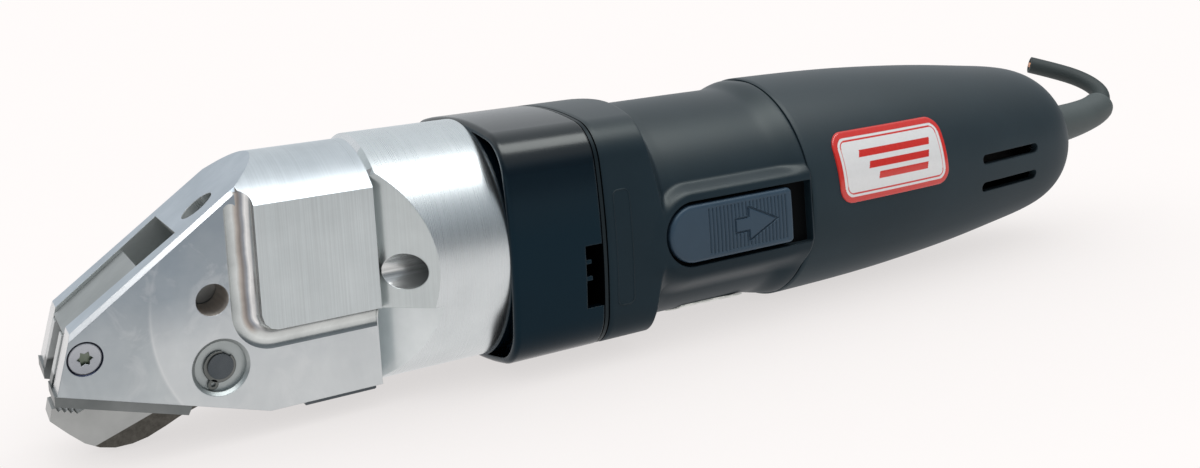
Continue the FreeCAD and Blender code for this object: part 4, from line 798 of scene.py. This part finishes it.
def build_grip():
    xs = np.concatenate([
        [59.35, 59.5, 59.75, 60.2], np.arange(60.8, 70.0, 0.6), np.arange(70.0, 81.0, 0.3),
        np.arange(81.0, 117.0, 0.6), np.arange(117.0, 128.0, 0.4), [128.2, 128.5, 128.7, 128.8]])
    na = 460
    a = 2 * np.pi * np.arange(na) / na
    band = crowned_r(a)
    lim = np.where(xs < 72.4, 46.0 + (72.4 - xs) * 5.6, np.interp(xs, LIM_X, LIM_R))
    fine = (xs > 72.4) & (xs < 80.0)
    lim[fine] = spline(LIM_X[1:9], LIM_R[1:9], xs[fine])
    flare = xs > 100
    lim[flare] = spline(LIM_X[9:], LIM_R[9:], xs[flare])
    rows = []
    for x, rl in zip(xs, lim):
        r = soft_min(band, rl + DROP * np.sin(a), 0.22)
        edge = 0.35 * (1 - sstep(59.3, 60.3, x)) + 0.35 * sstep(128.2, 128.8, x)
        z = r * np.sin(a)
        # raised land round the switch slider
        zz = z + 3.6
        dx = max(87.0 - x, 0.0)
        d = np.hypot(dx, np.abs(zz)) - 10.4
        w = np.where(zz > 0, 1 - sstep(-0.6, 3.6, d), 1 - sstep(-0.8, 8.5, d))
        w = np.where(np.cos(a) < 0, w, 0.0)
        rp = np.minimum(34.35 / np.maximum(np.abs(np.cos(a)), 0.3), 36.3)
        r = np.where(rp > r, r + (rp - r) * w, r) - edge
        rows.append(np.stack([np.full(na, x), r * np.cos(a), r * np.sin(a)], 1))
    # inner bore, back to front
    for x in (128.8, 94.0, 59.35):
        rows.append(np.stack([np.full(na, x), 29.1 * np.cos(a), DROP * sstep(59, 70, x) + 29.1 * np.sin(a)], 1))
    P = np.concatenate(rows)
    V = [mm(*p) for p in P]
    nu = len(rows)
    F = ring_faces(nu, na)
    for j in range(na):  # close the front rim
        F.append(((nu - 1) * na + j, (nu - 1) * na + (j + 1) % na, (j + 1) % na, j))
    o = new_object("grip_shell", V, F, "grip", 38.0)
    rec = prism_object("rec", slot_outline(77.5, 128.1, -3.5, 9.1, 0.5), -31.4, -45.0)
    win = prism_object("win", [(97.4, -1.0), (97.4, -5.6), (111.4, -5.6), (111.4, -1.0)], -26.0, -45.0)
    boolean(o, [rec, win])
    smooth(o, 38.0)
    o.data.materials.append(mats["slot"].m)
    for p in o.data.polygons:
        c = p.center * 1000.0
        if abs(c.y + 31.4) < 0.02 and abs(p.normal.y) > 0.99 and abs(c.z + 3.5) < 9.2:
            p.material_index = 1
    # fine moulded line on the flat of the band
    pts = []
    xa, xb, za, zb, rc = 61.9, 66.9, -19.0, 12.2, 1.6
    for cx, cz, a0 in ((xb - rc, zb - rc, 0.0), (xa + rc, zb - rc, 90.0), (xa + rc, za + rc, 180.0), (xb - rc, za + rc, 270.0)):
        for k in range(9):
            t = math.radians(a0 + 90.0 * k / 8)
            pts.append((cx + rc * math.cos(t), cz + rc * math.sin(t)))
    dense = []
    for k in range(len(pts)):
        (x1, z1), (x2, z2) = pts[k], pts[(k + 1) % len(pts)]
        m = max(1, int(math.hypot(x2 - x1, z2 - z1) / 0.8))
        dense += [(x1 + (x2 - x1) * q / m, z1 + (z2 - z1) * q / m) for q in range(m)]
    for side in (-1, 1):
        V2, F2, m = [], [], len(dense)
        for k, (x, z) in enumerate(dense):
            (xp, zp), (xn, zn) = dense[k - 1], dense[(k + 1) % m]
            tx, tz = xn - xp, zn - zp
            ln = math.hypot(tx, tz)
            nx, nz = -tz / ln, tx / ln
            for q in range(6):
                b = 2 * math.pi * q / 6
                zz = z + nz * 0.16 * math.cos(b)
                th = math.atan2(zz, 33.5)
                yy = float(crowned_r(np.array([th]))[0]) * math.cos(th)
                V2.append(mm(x + nx * 0.16 * math.cos(b), side * (yy - 0.02 + 0.12 * math.sin(b)), zz))
        F2 = [(k * 6 + q, k * 6 + (q + 1) % 6, ((k + 1) % m) * 6 + (q + 1) % 6, ((k + 1) % m) * 6 + q) for k in range(m) for q in range(6)]
        bead = new_object("bead", V2, F2, "grip", 80.0)
        with bpy.context.temp_override(active_object=o, selected_editable_objects=[o, bead], object=o, selected_objects=[o, bead]):
            bpy.ops.object.join()
    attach(o, "tool")
    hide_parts("grip_housing")
    return o


grip = build_grip()


# ------------------------------------------------------------------ rear housing
PROF_X = [129.1, 148.0, 168.0, 188.0, 208.0, 228.0, 242.0, 249.0, 253.5, 257.5, 261.0, 264.5, 266.5, 267.0]
PROF_R = [34.2, 34.0, 33.4, 32.2, 30.5, 28.2, 26.3, 24.6, 22.6, 19.6, 15.8, 11.0, 7.6, 6.5]


def rear_r(x):
    """The barrel's radius. The tail is round, so it's taken along its length."""
    t = np.concatenate([[0.0], np.cumsum(np.hypot(np.diff(PROF_X), np.diff(PROF_R)))])
    tt = np.linspace(0, t[-1], 900)
    return np.interp(x, spline(t, PROF_X, tt), spline(t, PROF_R, tt))


def build_rear():
    t = np.concatenate([[0.0], np.cumsum(np.hypot(np.diff(PROF_X), np.diff(PROF_R)))])
    tt = np.concatenate([[0.0, 0.25, 0.6], np.linspace(1.4, 120.0, 100), np.linspace(120.8, t[-1], 46)])
    X, R = spline(t, PROF_X, tt), spline(t, PROF_R, tt)
    R = R - 0.3 * (1 - sstep(129.1, 129.8, X))
    na = 288
    a = 2 * np.pi * np.arange(na) / na
    rows = [(x, r) for x, r in zip(X, R)]
    rows += [(267.0, 6.1), (258.8, 6.1)]
    rows += [(258.6, 12.9), (255.0, 17.2), (251.0, 20.2), (246.0, 22.2), (239.0, 24.1), (228.0, 25.6), (208.0, 27.9), (188.0, 29.6), (168.0, 30.8), (148.0, 31.4), (129.1, 31.5)]
    P = [mm(x, r * math.cos(b), DROP + r * math.sin(b)) for x, r in rows for b in a]
    F = ring_faces(len(rows), na)
    m = (len(rows) - 1) * na
    F += [(m + j, m + (j + 1) % na, (j + 1) % na, j) for j in range(na)]
    o = new_object("rear_shell", P, F, "rear", 30.0)
    cutters = []
    for side in (-1, 1):
        for z in (0.3, -8.8):
            pts = slot_outline(202.6, 232.2, z, 1.6, 1.6, 6)
            y0, y1 = (side * 20.0, side * 42.0)
            cutters.append(prism_object("vent", pts, min(y0, y1), max(y0, y1)))
    boolean(o, cutters)
    smooth(o, 30.0)
    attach(o, "tool")
    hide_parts("rear_housing")
    return o


rear = build_rear()


# ------------------------------------------------------------------ slider
def seg_dist(px, pz, a, b):
    ax, az = a
    bx, bz = b
    t = np.clip(((px - ax) * (bx - ax) + (pz - az) * (bz - az)) / ((bx - ax) ** 2 + (bz - az) ** 2), 0, 1)
    return np.hypot(px - ax - t * (bx - ax), pz - az - t * (bz - az))


def inside_poly(px, pz, poly):
    c = np.zeros(px.shape, bool)
    n = len(poly)
    for i in range(n):
        x1, z1 = poly[i]
        x2, z2 = poly[(i + 1) % n]
        hit = ((z1 > pz) != (z2 > pz)) & (px < (x2 - x1) * (pz - z1) / (z2 - z1 + 1e-12) + x1)
        c ^= hit
    return c


ARROW = [(100.2, -1.55), (104.9, -1.55), (104.9, 1.3), (115.0, -3.5), (104.9, -8.3), (104.9, -5.45), (100.2, -5.45)]


def build_slider():
    zc, half = -3.5, 8.0
    x0, x1 = 78.6, 120.9
    nz = 140
    xs = np.concatenate([x0 + (1 - np.cos(np.linspace(0, math.pi / 2, 34))) * 3.0, np.linspace(81.6, 90.6, 30)[1:], np.arange(90.66, 119.55, 0.127), 119.6 + 1.3 * np.sin(np.linspace(0, math.pi / 2, 12))])

    def hz(x):
        h = np.full(x.shape, half)
        f = x < x0 + half
        h[f] = np.sqrt(np.maximum(half ** 2 - (x0 + half - x[f]) ** 2, 0.0))
        g = x > x1 - 1.6
        h[g] = half - 1.6 + np.sqrt(np.maximum(1.6 ** 2 - (x[g] - (x1 - 1.6)) ** 2, 0.0))
        return np.maximum(h, 0.02)

    h = hz(xs)
    s = np.sin(np.linspace(-math.pi / 2, math.pi / 2, nz)) * 0.35 + np.linspace(-1, 1, nz) * 0.65
    PX = np.repeat(xs[:, None], nz, 1)
    PZ = zc + h[:, None] * s[None, :]
    # distance in from the rim, for the rolled edge
    dz = h[:, None] - np.abs(PZ - zc)
    front = half - np.hypot(np.minimum(PX - (x0 + half), 0.0), PZ - zc)
    din = np.minimum(np.minimum(dz, np.where(PX < x0 + half, front, 99.0)), x1 - PX)
    din = np.maximum(din, 0.0)
    R = 1.1
    roll = np.where(din < R, R - np.sqrt(np.maximum(R * R - (R - din) ** 2, 0.0)), 0.0)
    Y = 35.05 - 0.25 * ((PZ - zc) / half) ** 2 - roll
    ribbed = (PX > 90.9) & (PX < 119.0) & (np.abs(PZ - zc) < 6.5)
    arrow_d = np.min([seg_dist(PX, PZ, ARROW[i], ARROW[(i + 1) % len(ARROW)]) for i in range(len(ARROW))], 0)
    inside = inside_poly(PX, PZ, ARROW)
    ph = np.mod((PX - 90.9) / 1.27, 1.0)
    rib = np.clip(1.0 - np.abs(ph - 0.5) * 1.27 / 0.34, 0.0, 1.0)
    fade = np.clip((6.5 - np.abs(PZ - zc)) / 0.25, 0, 1)
    Y = Y - np.where(ribbed & ~inside & (arrow_d > 0.42), 0.40 * rib * fade, 0.0)
    Y = Y - 0.50 * (1 - sstep(0.14, 0.36, arrow_d))
    top = [mm(x, -y, z) for x, y, z in zip(PX.ravel(), Y.ravel(), PZ.ravel())]
    n = len(xs)
    F = [(i * nz + j, i * nz + j + 1, (i + 1) * nz + j + 1, (i + 1) * nz + j) for i in range(n - 1) for j in range(nz - 1)]
    V = list(top)
    rim = [i * nz for i in range(n)] + [(n - 1) * nz + j for j in range(1, nz)] + [i * nz + nz - 1 for i in range(n - 2, -1, -1)] + [j for j in range(nz - 2, 0, -1)]
    base = len(V)
    for i in rim:
        V.append(mm(PX.ravel()[i], -31.6, PZ.ravel()[i]))
    m = len(rim)
    F += [(rim[i], rim[(i + 1) % m], base + (i + 1) % m, base + i) for i in range(m)]
    F.append(tuple(base + i for i in range(m)))
    # peg that reaches through the housing
    b = len(V)
    for x in (98.0, 106.5):
        for y in (-31.6, -28.8):
            for z in (-5.2, -1.5):
                V.append(mm(x, y, z))
    F += [tuple(b + i for i in q) for q in ((0, 1, 3, 2), (4, 6, 7, 5), (0, 4, 5, 1), (2, 3, 7, 6), (0, 2, 6, 4), (1, 5, 7, 3))]
    o = new_object("slider_button", V, F, "slider", 50.0)
    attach(o, "slider")
    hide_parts("switch_slider")
    return o


slider = build_slider()


# ------------------------------------------------------------------ snap rings
def build_circlips():
    """Thin rings in the pin's grooves, open at the top rear, one eye at the foot."""
    V, F = [], []
    px, pz = -39.0, -16.3
    for side in (-1, 1):
        ya, yb = side * 17.1, side * 17.75
        n = 54
        a0, a1 = math.radians(78), math.radians(78 + 318)
        first = len(V)
        for k in range(n + 1):
            t = a0 + (a1 - a0) * k / n
            u = abs(2.0 * k / n - 1.0)
            ro = 3.95 - 0.42 * u * u
            for r, y in ((2.62, ya), (2.62, yb), (ro - 0.12, yb), (ro, yb - side * 0.12), (ro, ya)):
                V.append(mm(px + r * math.cos(t), y, pz + r * math.sin(t)))
        F += [(first + k * 5 + q, first + k * 5 + (q + 1) % 5, first + (k + 1) * 5 + (q + 1) % 5, first + (k + 1) * 5 + q) for k in range(n) for q in range(5)]
        F += [tuple(first + q for q in range(5)), tuple(first + n * 5 + q for q in range(4, -1, -1))]
        # eye
        first = len(V)
        ex, ez, m = px - 1.95, pz - 4.05, 30
        for k in range(m):
            t = 2 * math.pi * k / m
            for r, y in ((0.55, ya), (0.55, yb), (1.15, yb), (1.28, yb - side * 0.12), (1.28, ya)):
                V.append(mm(ex + r * math.cos(t), y, ez + r * math.sin(t)))
        F += [(first + k * 5 + q, first + k * 5 + (q + 1) % 5, first + ((k + 1) % m) * 5 + (q + 1) % 5, first + ((k + 1) % m) * 5 + q) for k in range(m) for q in range(5)]
    o = new_object("snap_rings", V, F, "ring", 35.0)
    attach(o, "tool")
    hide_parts("pivot_circlips")


build_circlips()


# ------------------------------------------------------------------ badge
def badge_material():
    """Enamelled plate: red field, white line inside the edge, three bars."""
    M = Mat("badge_enamel")
    M.set(Roughness=0.22)
    M.b.inputs["Coat Weight"].default_value = 0.6
    M.b.inputs["Coat Roughness"].default_value = 0.08
    at = M.n("ShaderNodeAttribute", attribute_name="badge")
    speck = M.noise(900.0, 3.0, 0.6)
    red = M.mix(speck, (0.62, 0.018, 0.012), (0.74, 0.035, 0.025))
    white = M.mix(speck, (0.80, 0.80, 0.79), (0.88, 0.88, 0.88))
    M.color(M.mix(at.outputs["Fac"], red, white))
    M.bump(M.noise(2200.0, 2.0, 0.5), 0.04, 0.00002)
    return M.m


def build_badge():
    x0, x1, z0, z1, rc = 139.5, 185.5, -4.0, 17.0, 5.0
    xm, zm, hx, hz = (x0 + x1) / 2, (z0 + z1) / 2, (x1 - x0) / 2, (z1 - z0) / 2

    def sdf(x, z):
        qx, qz = np.abs(x - xm) - hx + rc, np.abs(z - zm) - hz + rc
        return np.hypot(np.maximum(qx, 0), np.maximum(qz, 0)) + np.minimum(np.maximum(qx, qz), 0) - rc

    # square grid, squeezed into the rounded outline
    nu, nv = 231, 121
    U, W = np.meshgrid(np.linspace(-1, 1, nu), np.linspace(-1, 1, nv), indexing="ij")
    rr = rc
    Xs = xm + U * hx
    over = np.maximum(np.abs(U * hx) - (hx - rr), 0.0)
    hz_at = hz - rr + np.sqrt(np.maximum(rr * rr - over ** 2, 0.0))
    Zs = zm + W * hz_at
    d = -sdf(Xs, Zs)
    edge = np.clip(d / 0.45, 0, 1)
    lift = 0.12 + 0.42 * np.sqrt(np.maximum(1 - (1 - edge) ** 2, 0))
    line = (np.abs(d - 1.75) < 0.42)
    slant = (Xs - xm) - (Zs - zm) * 0.35
    bars = np.zeros_like(line)
    for k, (a, b, c) in enumerate(((-15.0, 15.0, 3.6), (-10.5, 15.0, 0.0), (-6.0, 15.0, -3.6))):
        bars |= (slant > a) & (slant < b) & (np.abs(Zs - zm - c) < 1.05)
    mask = ((d > 1.75) & ~bars & ~((d > 2.6) & (d < 3.0))).astype(float)
    lift = lift - 0.12 * (d > 1.75)
    r = rear_r(Xs) + lift
    zr = Zs - DROP
    Y = -np.sqrt(np.maximum(r * r - zr * zr, 0))
    V = [mm(x, y, z) for x, y, z in zip(Xs.ravel(), Y.ravel(), Zs.ravel())]
    F = [(i * nv + j, i * nv + j + 1, (i + 1) * nv + j + 1, (i + 1) * nv + j) for i in range(nu - 1) for j in range(nv - 1)]
    rim = [i * nv for i in range(nu)] + [(nu - 1) * nv + j for j in range(1, nv)] + [i * nv + nv - 1 for i in range(nu - 2, -1, -1)] + [j for j in range(nv - 2, 0, -1)]
    base = len(V)
    n_top = base
    xr, zr2 = Xs.ravel(), Zs.ravel()
    # underside follows the barrel a hair above it
    rb = rear_r(Xs) + 0.02
    Yb = -np.sqrt(np.maximum(rb * rb - (Zs - DROP) ** 2, 0))
    V += [mm(x, y, z) for x, y, z in zip(xr, Yb.ravel(), zr2)]
    F += [(base + i * nv + j, base + (i + 1) * nv + j, base + (i + 1) * nv + j + 1, base + i * nv + j + 1) for i in range(nu - 1) for j in range(nv - 1)]
    m = len(rim)
    F += [(rim[i], rim[(i + 1) % m], base + rim[(i + 1) % m], base + rim[i]) for i in range(m)]
    o = new_object("badge_face", V, F, badge_material(), 40.0)
    at = o.data.attributes.new("badge", "FLOAT", "POINT")
    vals = np.concatenate([mask.ravel(), np.zeros(len(V) - n_top)]).astype(np.float32)
    at.data.foreach_set("value", vals)
    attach(o, "tool")
    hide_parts("badge_plate")
    return o


badge = build_badge()


# ------------------------------------------------------------------ cable
PATH = np.array([(226, 0, 0), (250, 0, 0), (275, 0, 0.4), (290, 0.1, 1.8), (301, 1.2, 4.6), (307.2, 5.6, 8.6), (307.0, 12.5, 12.8), (301.5, 20.0, 16.6), (293.5, 27.0, 20.0)], float)


def path_points(n):
    t = np.concatenate([[0.0], np.cumsum(np.linalg.norm(np.diff(PATH, axis=0), axis=1))])
    tt = np.linspace(0, t[-1], n)
    return np.stack([spline(t, PATH[:, i], tt) for i in range(3)], 1), tt


def sweep(points, radii, na):
    """Rings square to the path, turned as little as possible along it."""
    tan = np.gradient(points, axis=0)
    tan /= np.linalg.norm(tan, axis=1)[:, None]
    up = np.array([0.0, 0.0, 1.0])
    rows = []
    for p, tg, r in zip(points, tan, radii):
        u = up - tg * (up @ tg)
        u /= np.linalg.norm(u)
        up = u
        v = np.cross(tg, u)
        a = 2 * np.pi * np.arange(na) / na
        rows.append(p + r * (np.cos(a)[:, None] * u + np.sin(a)[:, None] * v))
    return rows


def build_cable():
    pts, tt = path_points(150)
    na = 40
    rows = sweep(pts, np.full(len(pts), 3.25), na)
    # the cut end shows the jacket's inside edge round a slightly sunk end face
    end_c, end_t = pts[-1], pts[-1] - pts[-2]
    end_t = end_t / np.linalg.norm(end_t)
    last = rows[-1]
    rows.append(end_c + (last - end_c) * 0.92 + end_t * 0.12)
    rows.append(end_c + (last - end_c) * 0.72 + end_t * 0.12)
    rows.append(end_c + (last - end_c) * 0.66 - end_t * 0.25)
    V = [mm(*p) for r in rows for p in r]
    F = ring_faces(len(rows), na)
    F.append(tuple((len(rows) - 1) * na + j for j in range(na)))
    F.append(tuple(range(na)))
    o = new_object("cable_jacket", V, F, "rubber", 40.0)
    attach(o, "tool")
    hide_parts("cable")
    # strain relief: a collar, a plain root and a smooth taper to a thin lip; the ring grooves are worked out but scaled
    # to zero
    pts, tt = path_points(700)
    keep = (pts[:, 0] > 252) & (tt < tt[np.argmax(pts[:, 0] > 301.9)] if np.any(pts[:, 0] > 301.9) else True)
    sel = pts[keep]
    s = np.concatenate([[0.0], np.cumsum(np.linalg.norm(np.diff(sel, axis=0), axis=1))])
    x = sel[:, 0]
    r = np.interp(x, [252, 267.0, 267.6, 268.4, 283, 300, 301.4, 302], [6.0, 6.0, 6.9, 7.15, 6.5, 5.6, 5.2, 4.4])
    groove = (x > 272) & (x < 297)
    wav = np.where(groove, 0.38 * (0.5 - 0.5 * np.cos(2 * np.pi * (s - s[np.argmax(x > 272)]) / 3.1)) ** 2, 0)
    r = r - 0.0 * wav
    rows = sweep(sel, r, 44)
    inner = sweep(sel[::-1][[0, len(sel) // 2, len(sel) - 1]], [3.3, 3.3, 3.3], 44)
    # match the inner rings' start to the outer ones
    V = [mm(*p) for q in rows for p in q]
    F = ring_faces(len(rows), 44)
    n0 = len(rows) * 44
    cap_end = [mm(*(sel[-1] + (p - sel[-1]) * (3.3 / r[-1]))) for p in rows[-1]]
    cap_start = [mm(*(sel[0] + (p - sel[0]) * (3.3 / r[0]))) for p in rows[0]]
    V += cap_end + cap_start
    e0 = (len(rows) - 1) * 44
    F += [(e0 + j, e0 + (j + 1) % 44, n0 + (j + 1) % 44, n0 + j) for j in range(44)]
    F += [((j + 1) % 44, j, n0 + 44 + j, n0 + 44 + (j + 1) % 44) for j in range(44)]
    F += [(n0 + j, n0 + (j + 1) % 44, n0 + 44 + (j + 1) % 44, n0 + 44 + j) for j in range(44)]
    o2 = new_object("strain_relief", V, F, "sleeve", 40.0)
    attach(o2, "tool")
    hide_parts("cable_sleeve")
    return o, o2


build_cable()


# ------------------------------------------------------------------ stage
def build_stage():
    floor_z = min(CAD_LO.z, -0.0348) - 0.0006
    V, F = [], []
    n = 24
    for i in range(n + 1):
        for j in range(n + 1):
            V.append((-12 + 24 * i / n, -12 + 24 * j / n, floor_z))
    F = [(i * (n + 1) + j, (i + 1) * (n + 1) + j, (i + 1) * (n + 1) + j + 1, i * (n + 1) + j + 1) for i in range(n) for j in range(n)]
    M = Mat("floor_pale")
    ao = M.n("ShaderNodeAmbientOcclusion", samples=12)
    ao.inputs["Distance"].default_value = 0.12
    grain = M.noise(60.0, 3.0, 0.5)
    # painted contact shadow: for camera rays ambient occlusion darkens the glowing floor around the tool
    shade = M.math("MULTIPLY_ADD", M.math("POWER", ao.outputs["AO"], 0.9), 0.34, 0.66)
    lp = M.n("ShaderNodeLightPath")
    seen = M.math("MULTIPLY", shade, M.math("MULTIPLY_ADD", grain, 0.006, 0.998))
    strength = M.math("MULTIPLY_ADD", M.math("ADD", seen, -0.84), lp.outputs["Is Camera Ray"], 0.84)
    em = M.n("ShaderNodeEmission")
    em.inputs["Color"].default_value = (1.0, 0.967, 0.957, 1)
    M.link(strength, em.inputs["Strength"])
    out = [q for q in M.t.nodes if q.type == "OUTPUT_MATERIAL"][0]
    geo = M.n("ShaderNodeNewGeometry")
    clear = M.n("ShaderNodeBsdfTransparent")
    sides = M.n("ShaderNodeMixShader")
    M.link(geo.outputs["Backfacing"], sides.inputs[0])
    M.link(em.outputs[0], sides.inputs[1])
    M.link(clear.outputs[0], sides.inputs[2])
    M.link(sides.outputs[0], out.inputs["Surface"])
    me = bpy.data.meshes.new("studio_floor")
    me.from_pydata(V, [], F)
    me.update()
    o = bpy.data.objects.new("studio_floor", me)
    scene.collection.objects.link(o)
    me.materials.append(M.m)
    return o


build_stage()


def area(name, loc, target, size, size_y, power, col=(1, 1, 1)):
    L = bpy.data.lights.new(name, "AREA")
    L.shape = "RECTANGLE"
    L.size, L.size_y, L.energy, L.color = size, size_y, power, col
    o = bpy.data.objects.new(name, L)
    scene.collection.objects.link(o)
    o.location = loc
    d = Vector(target) - Vector(loc)
    o.rotation_mode = "QUATERNION"
    o.rotation_quaternion = d.to_track_quat("-Z", "Y")
    return o


area("strip_softbox", (0.05, -0.31, 1.16), (0.05, 0, 0), 1.7, 0.56, 10.5, (1.0, 0.995, 0.985))

world = bpy.data.worlds.new("studio")
scene.world = world
world.use_nodes = True


def build_world():
    """White sweep behind the tool, a darker room in front, a pale ceiling."""
    t = world.node_tree
    bg = t.nodes["Background"]
    out = bg.outputs[0].links[0].to_node
    sep = t.nodes.new("ShaderNodeSeparateXYZ")
    t.links.new(t.nodes.new("ShaderNodeTexCoord").outputs["Generated"], sep.inputs[0])

    def ramp(fac, stops):
        r = t.nodes.new("ShaderNodeValToRGB")
        r.color_ramp.interpolation = "EASE"
        e = r.color_ramp.elements
        while len(e) < len(stops):
            e.new(0.5)
        for el, (p, v) in zip(e, stops):
            el.position, el.color = p, (v[0], v[1], v[2], 1)
        t.links.new(fac, r.inputs["Fac"])
        return r.outputs["Color"]

    def half(sock):
        m = t.nodes.new("ShaderNodeMath")
        m.operation = "MULTIPLY_ADD"
        m.inputs[1].default_value = 0.5
        m.inputs[2].default_value = 0.5
        t.links.new(sock, m.inputs[0])
        return m.outputs[0]

    front = ramp(half(sep.outputs[2]), [(0.0, (0.30, 0.31, 0.32)), (0.5, (0.15, 0.165, 0.18)), (0.62, (0.19, 0.21, 0.23)), (0.80, (0.44, 0.47, 0.50)), (1.0, (0.60, 0.63, 0.66))])
    back = ramp(half(sep.outputs[1]), [(0.0, (0, 0, 0)), (0.50, (0.0, 0.0, 0.0)), (0.80, (1, 1, 1)), (1.0, (1, 1, 1))])
    mx = t.nodes.new("ShaderNodeMix")
    mx.data_type = "RGBA"
    t.links.new(back, mx.inputs[0])
    t.links.new(front, mx.inputs[6])
    mx.inputs[7].default_value = (0.72, 0.745, 0.77, 1)
    t.links.new(mx.outputs[2], bg.inputs["Color"])
    seen = t.nodes.new("ShaderNodeBackground")
    seen.inputs["Color"].default_value = (1.0, 0.967, 0.957, 1)
    lp = t.nodes.new("ShaderNodeLightPath")
    ms = t.nodes.new("ShaderNodeMixShader")
    t.links.new(lp.outputs["Is Camera Ray"], ms.inputs[0])
    t.links.new(bg.outputs[0], ms.inputs[1])
    t.links.new(seen.outputs[0], ms.inputs[2])
    t.links.new(ms.outputs[0], out.inputs["Surface"])


build_world()

# ------------------------------------------------------------------ camera
cam_data = bpy.data.cameras.new("photo_camera")
cam = bpy.data.objects.new("photo_camera", cam_data)
scene.collection.objects.link(cam)
scene.camera = cam
F_PX, PX0, PY0 = 1213.59, 595.148, 22.718
cam_data.sensor_width = 36.0
cam_data.lens = F_PX / 1200.0 * 36.0
cam_data.clip_start, cam_data.clip_end = 0.01, 60.0
C = mm(-96.593, -310.877, 72.894)
fwd = Vector((0.49167564, 0.86937793, -0.04936678))
right = Vector((0.86674925, -0.49406095, -0.06818738))
up = -Vector((-0.08367081, -0.00926255, -0.9964504))
cam.rotation_mode = "QUATERNION"
cam.location = C
cam.rotation_quaternion = Matrix((right, up, -fwd)).transposed().to_quaternion()


def shift_driver(path, value):
    """The lens shift belongs to the photo's own viewpoint and is off from any other."""
    d = cam_data.driver_add(path).driver
    d.type = "SCRIPTED"
    v = d.variables.new()
    v.name = "lx"
    v.type = "TRANSFORMS"
    v.targets[0].id = cam
    v.targets[0].transform_type = "LOC_X"
    w = d.variables.new()
    w.name = "ly"
    w.type = "TRANSFORMS"
    w.targets[0].id = cam
    w.targets[0].transform_type = "LOC_Y"
    d.expression = "%r if abs(lx - %r) + abs(ly - %r) < 0.0005 else 0.0" % (value, C[0], C[1])


shift_driver("shift_x", (600.0 - PX0) / 1200.0)
shift_driver("shift_y", -(234.0 - PY0) / 1200.0)

scene.view_settings.view_transform = "Standard"
scene.view_settings.look = "None"
scene.view_settings.exposure = 0.0
scene.view_settings.gamma = 1.0

bpy.context.view_layer.update()
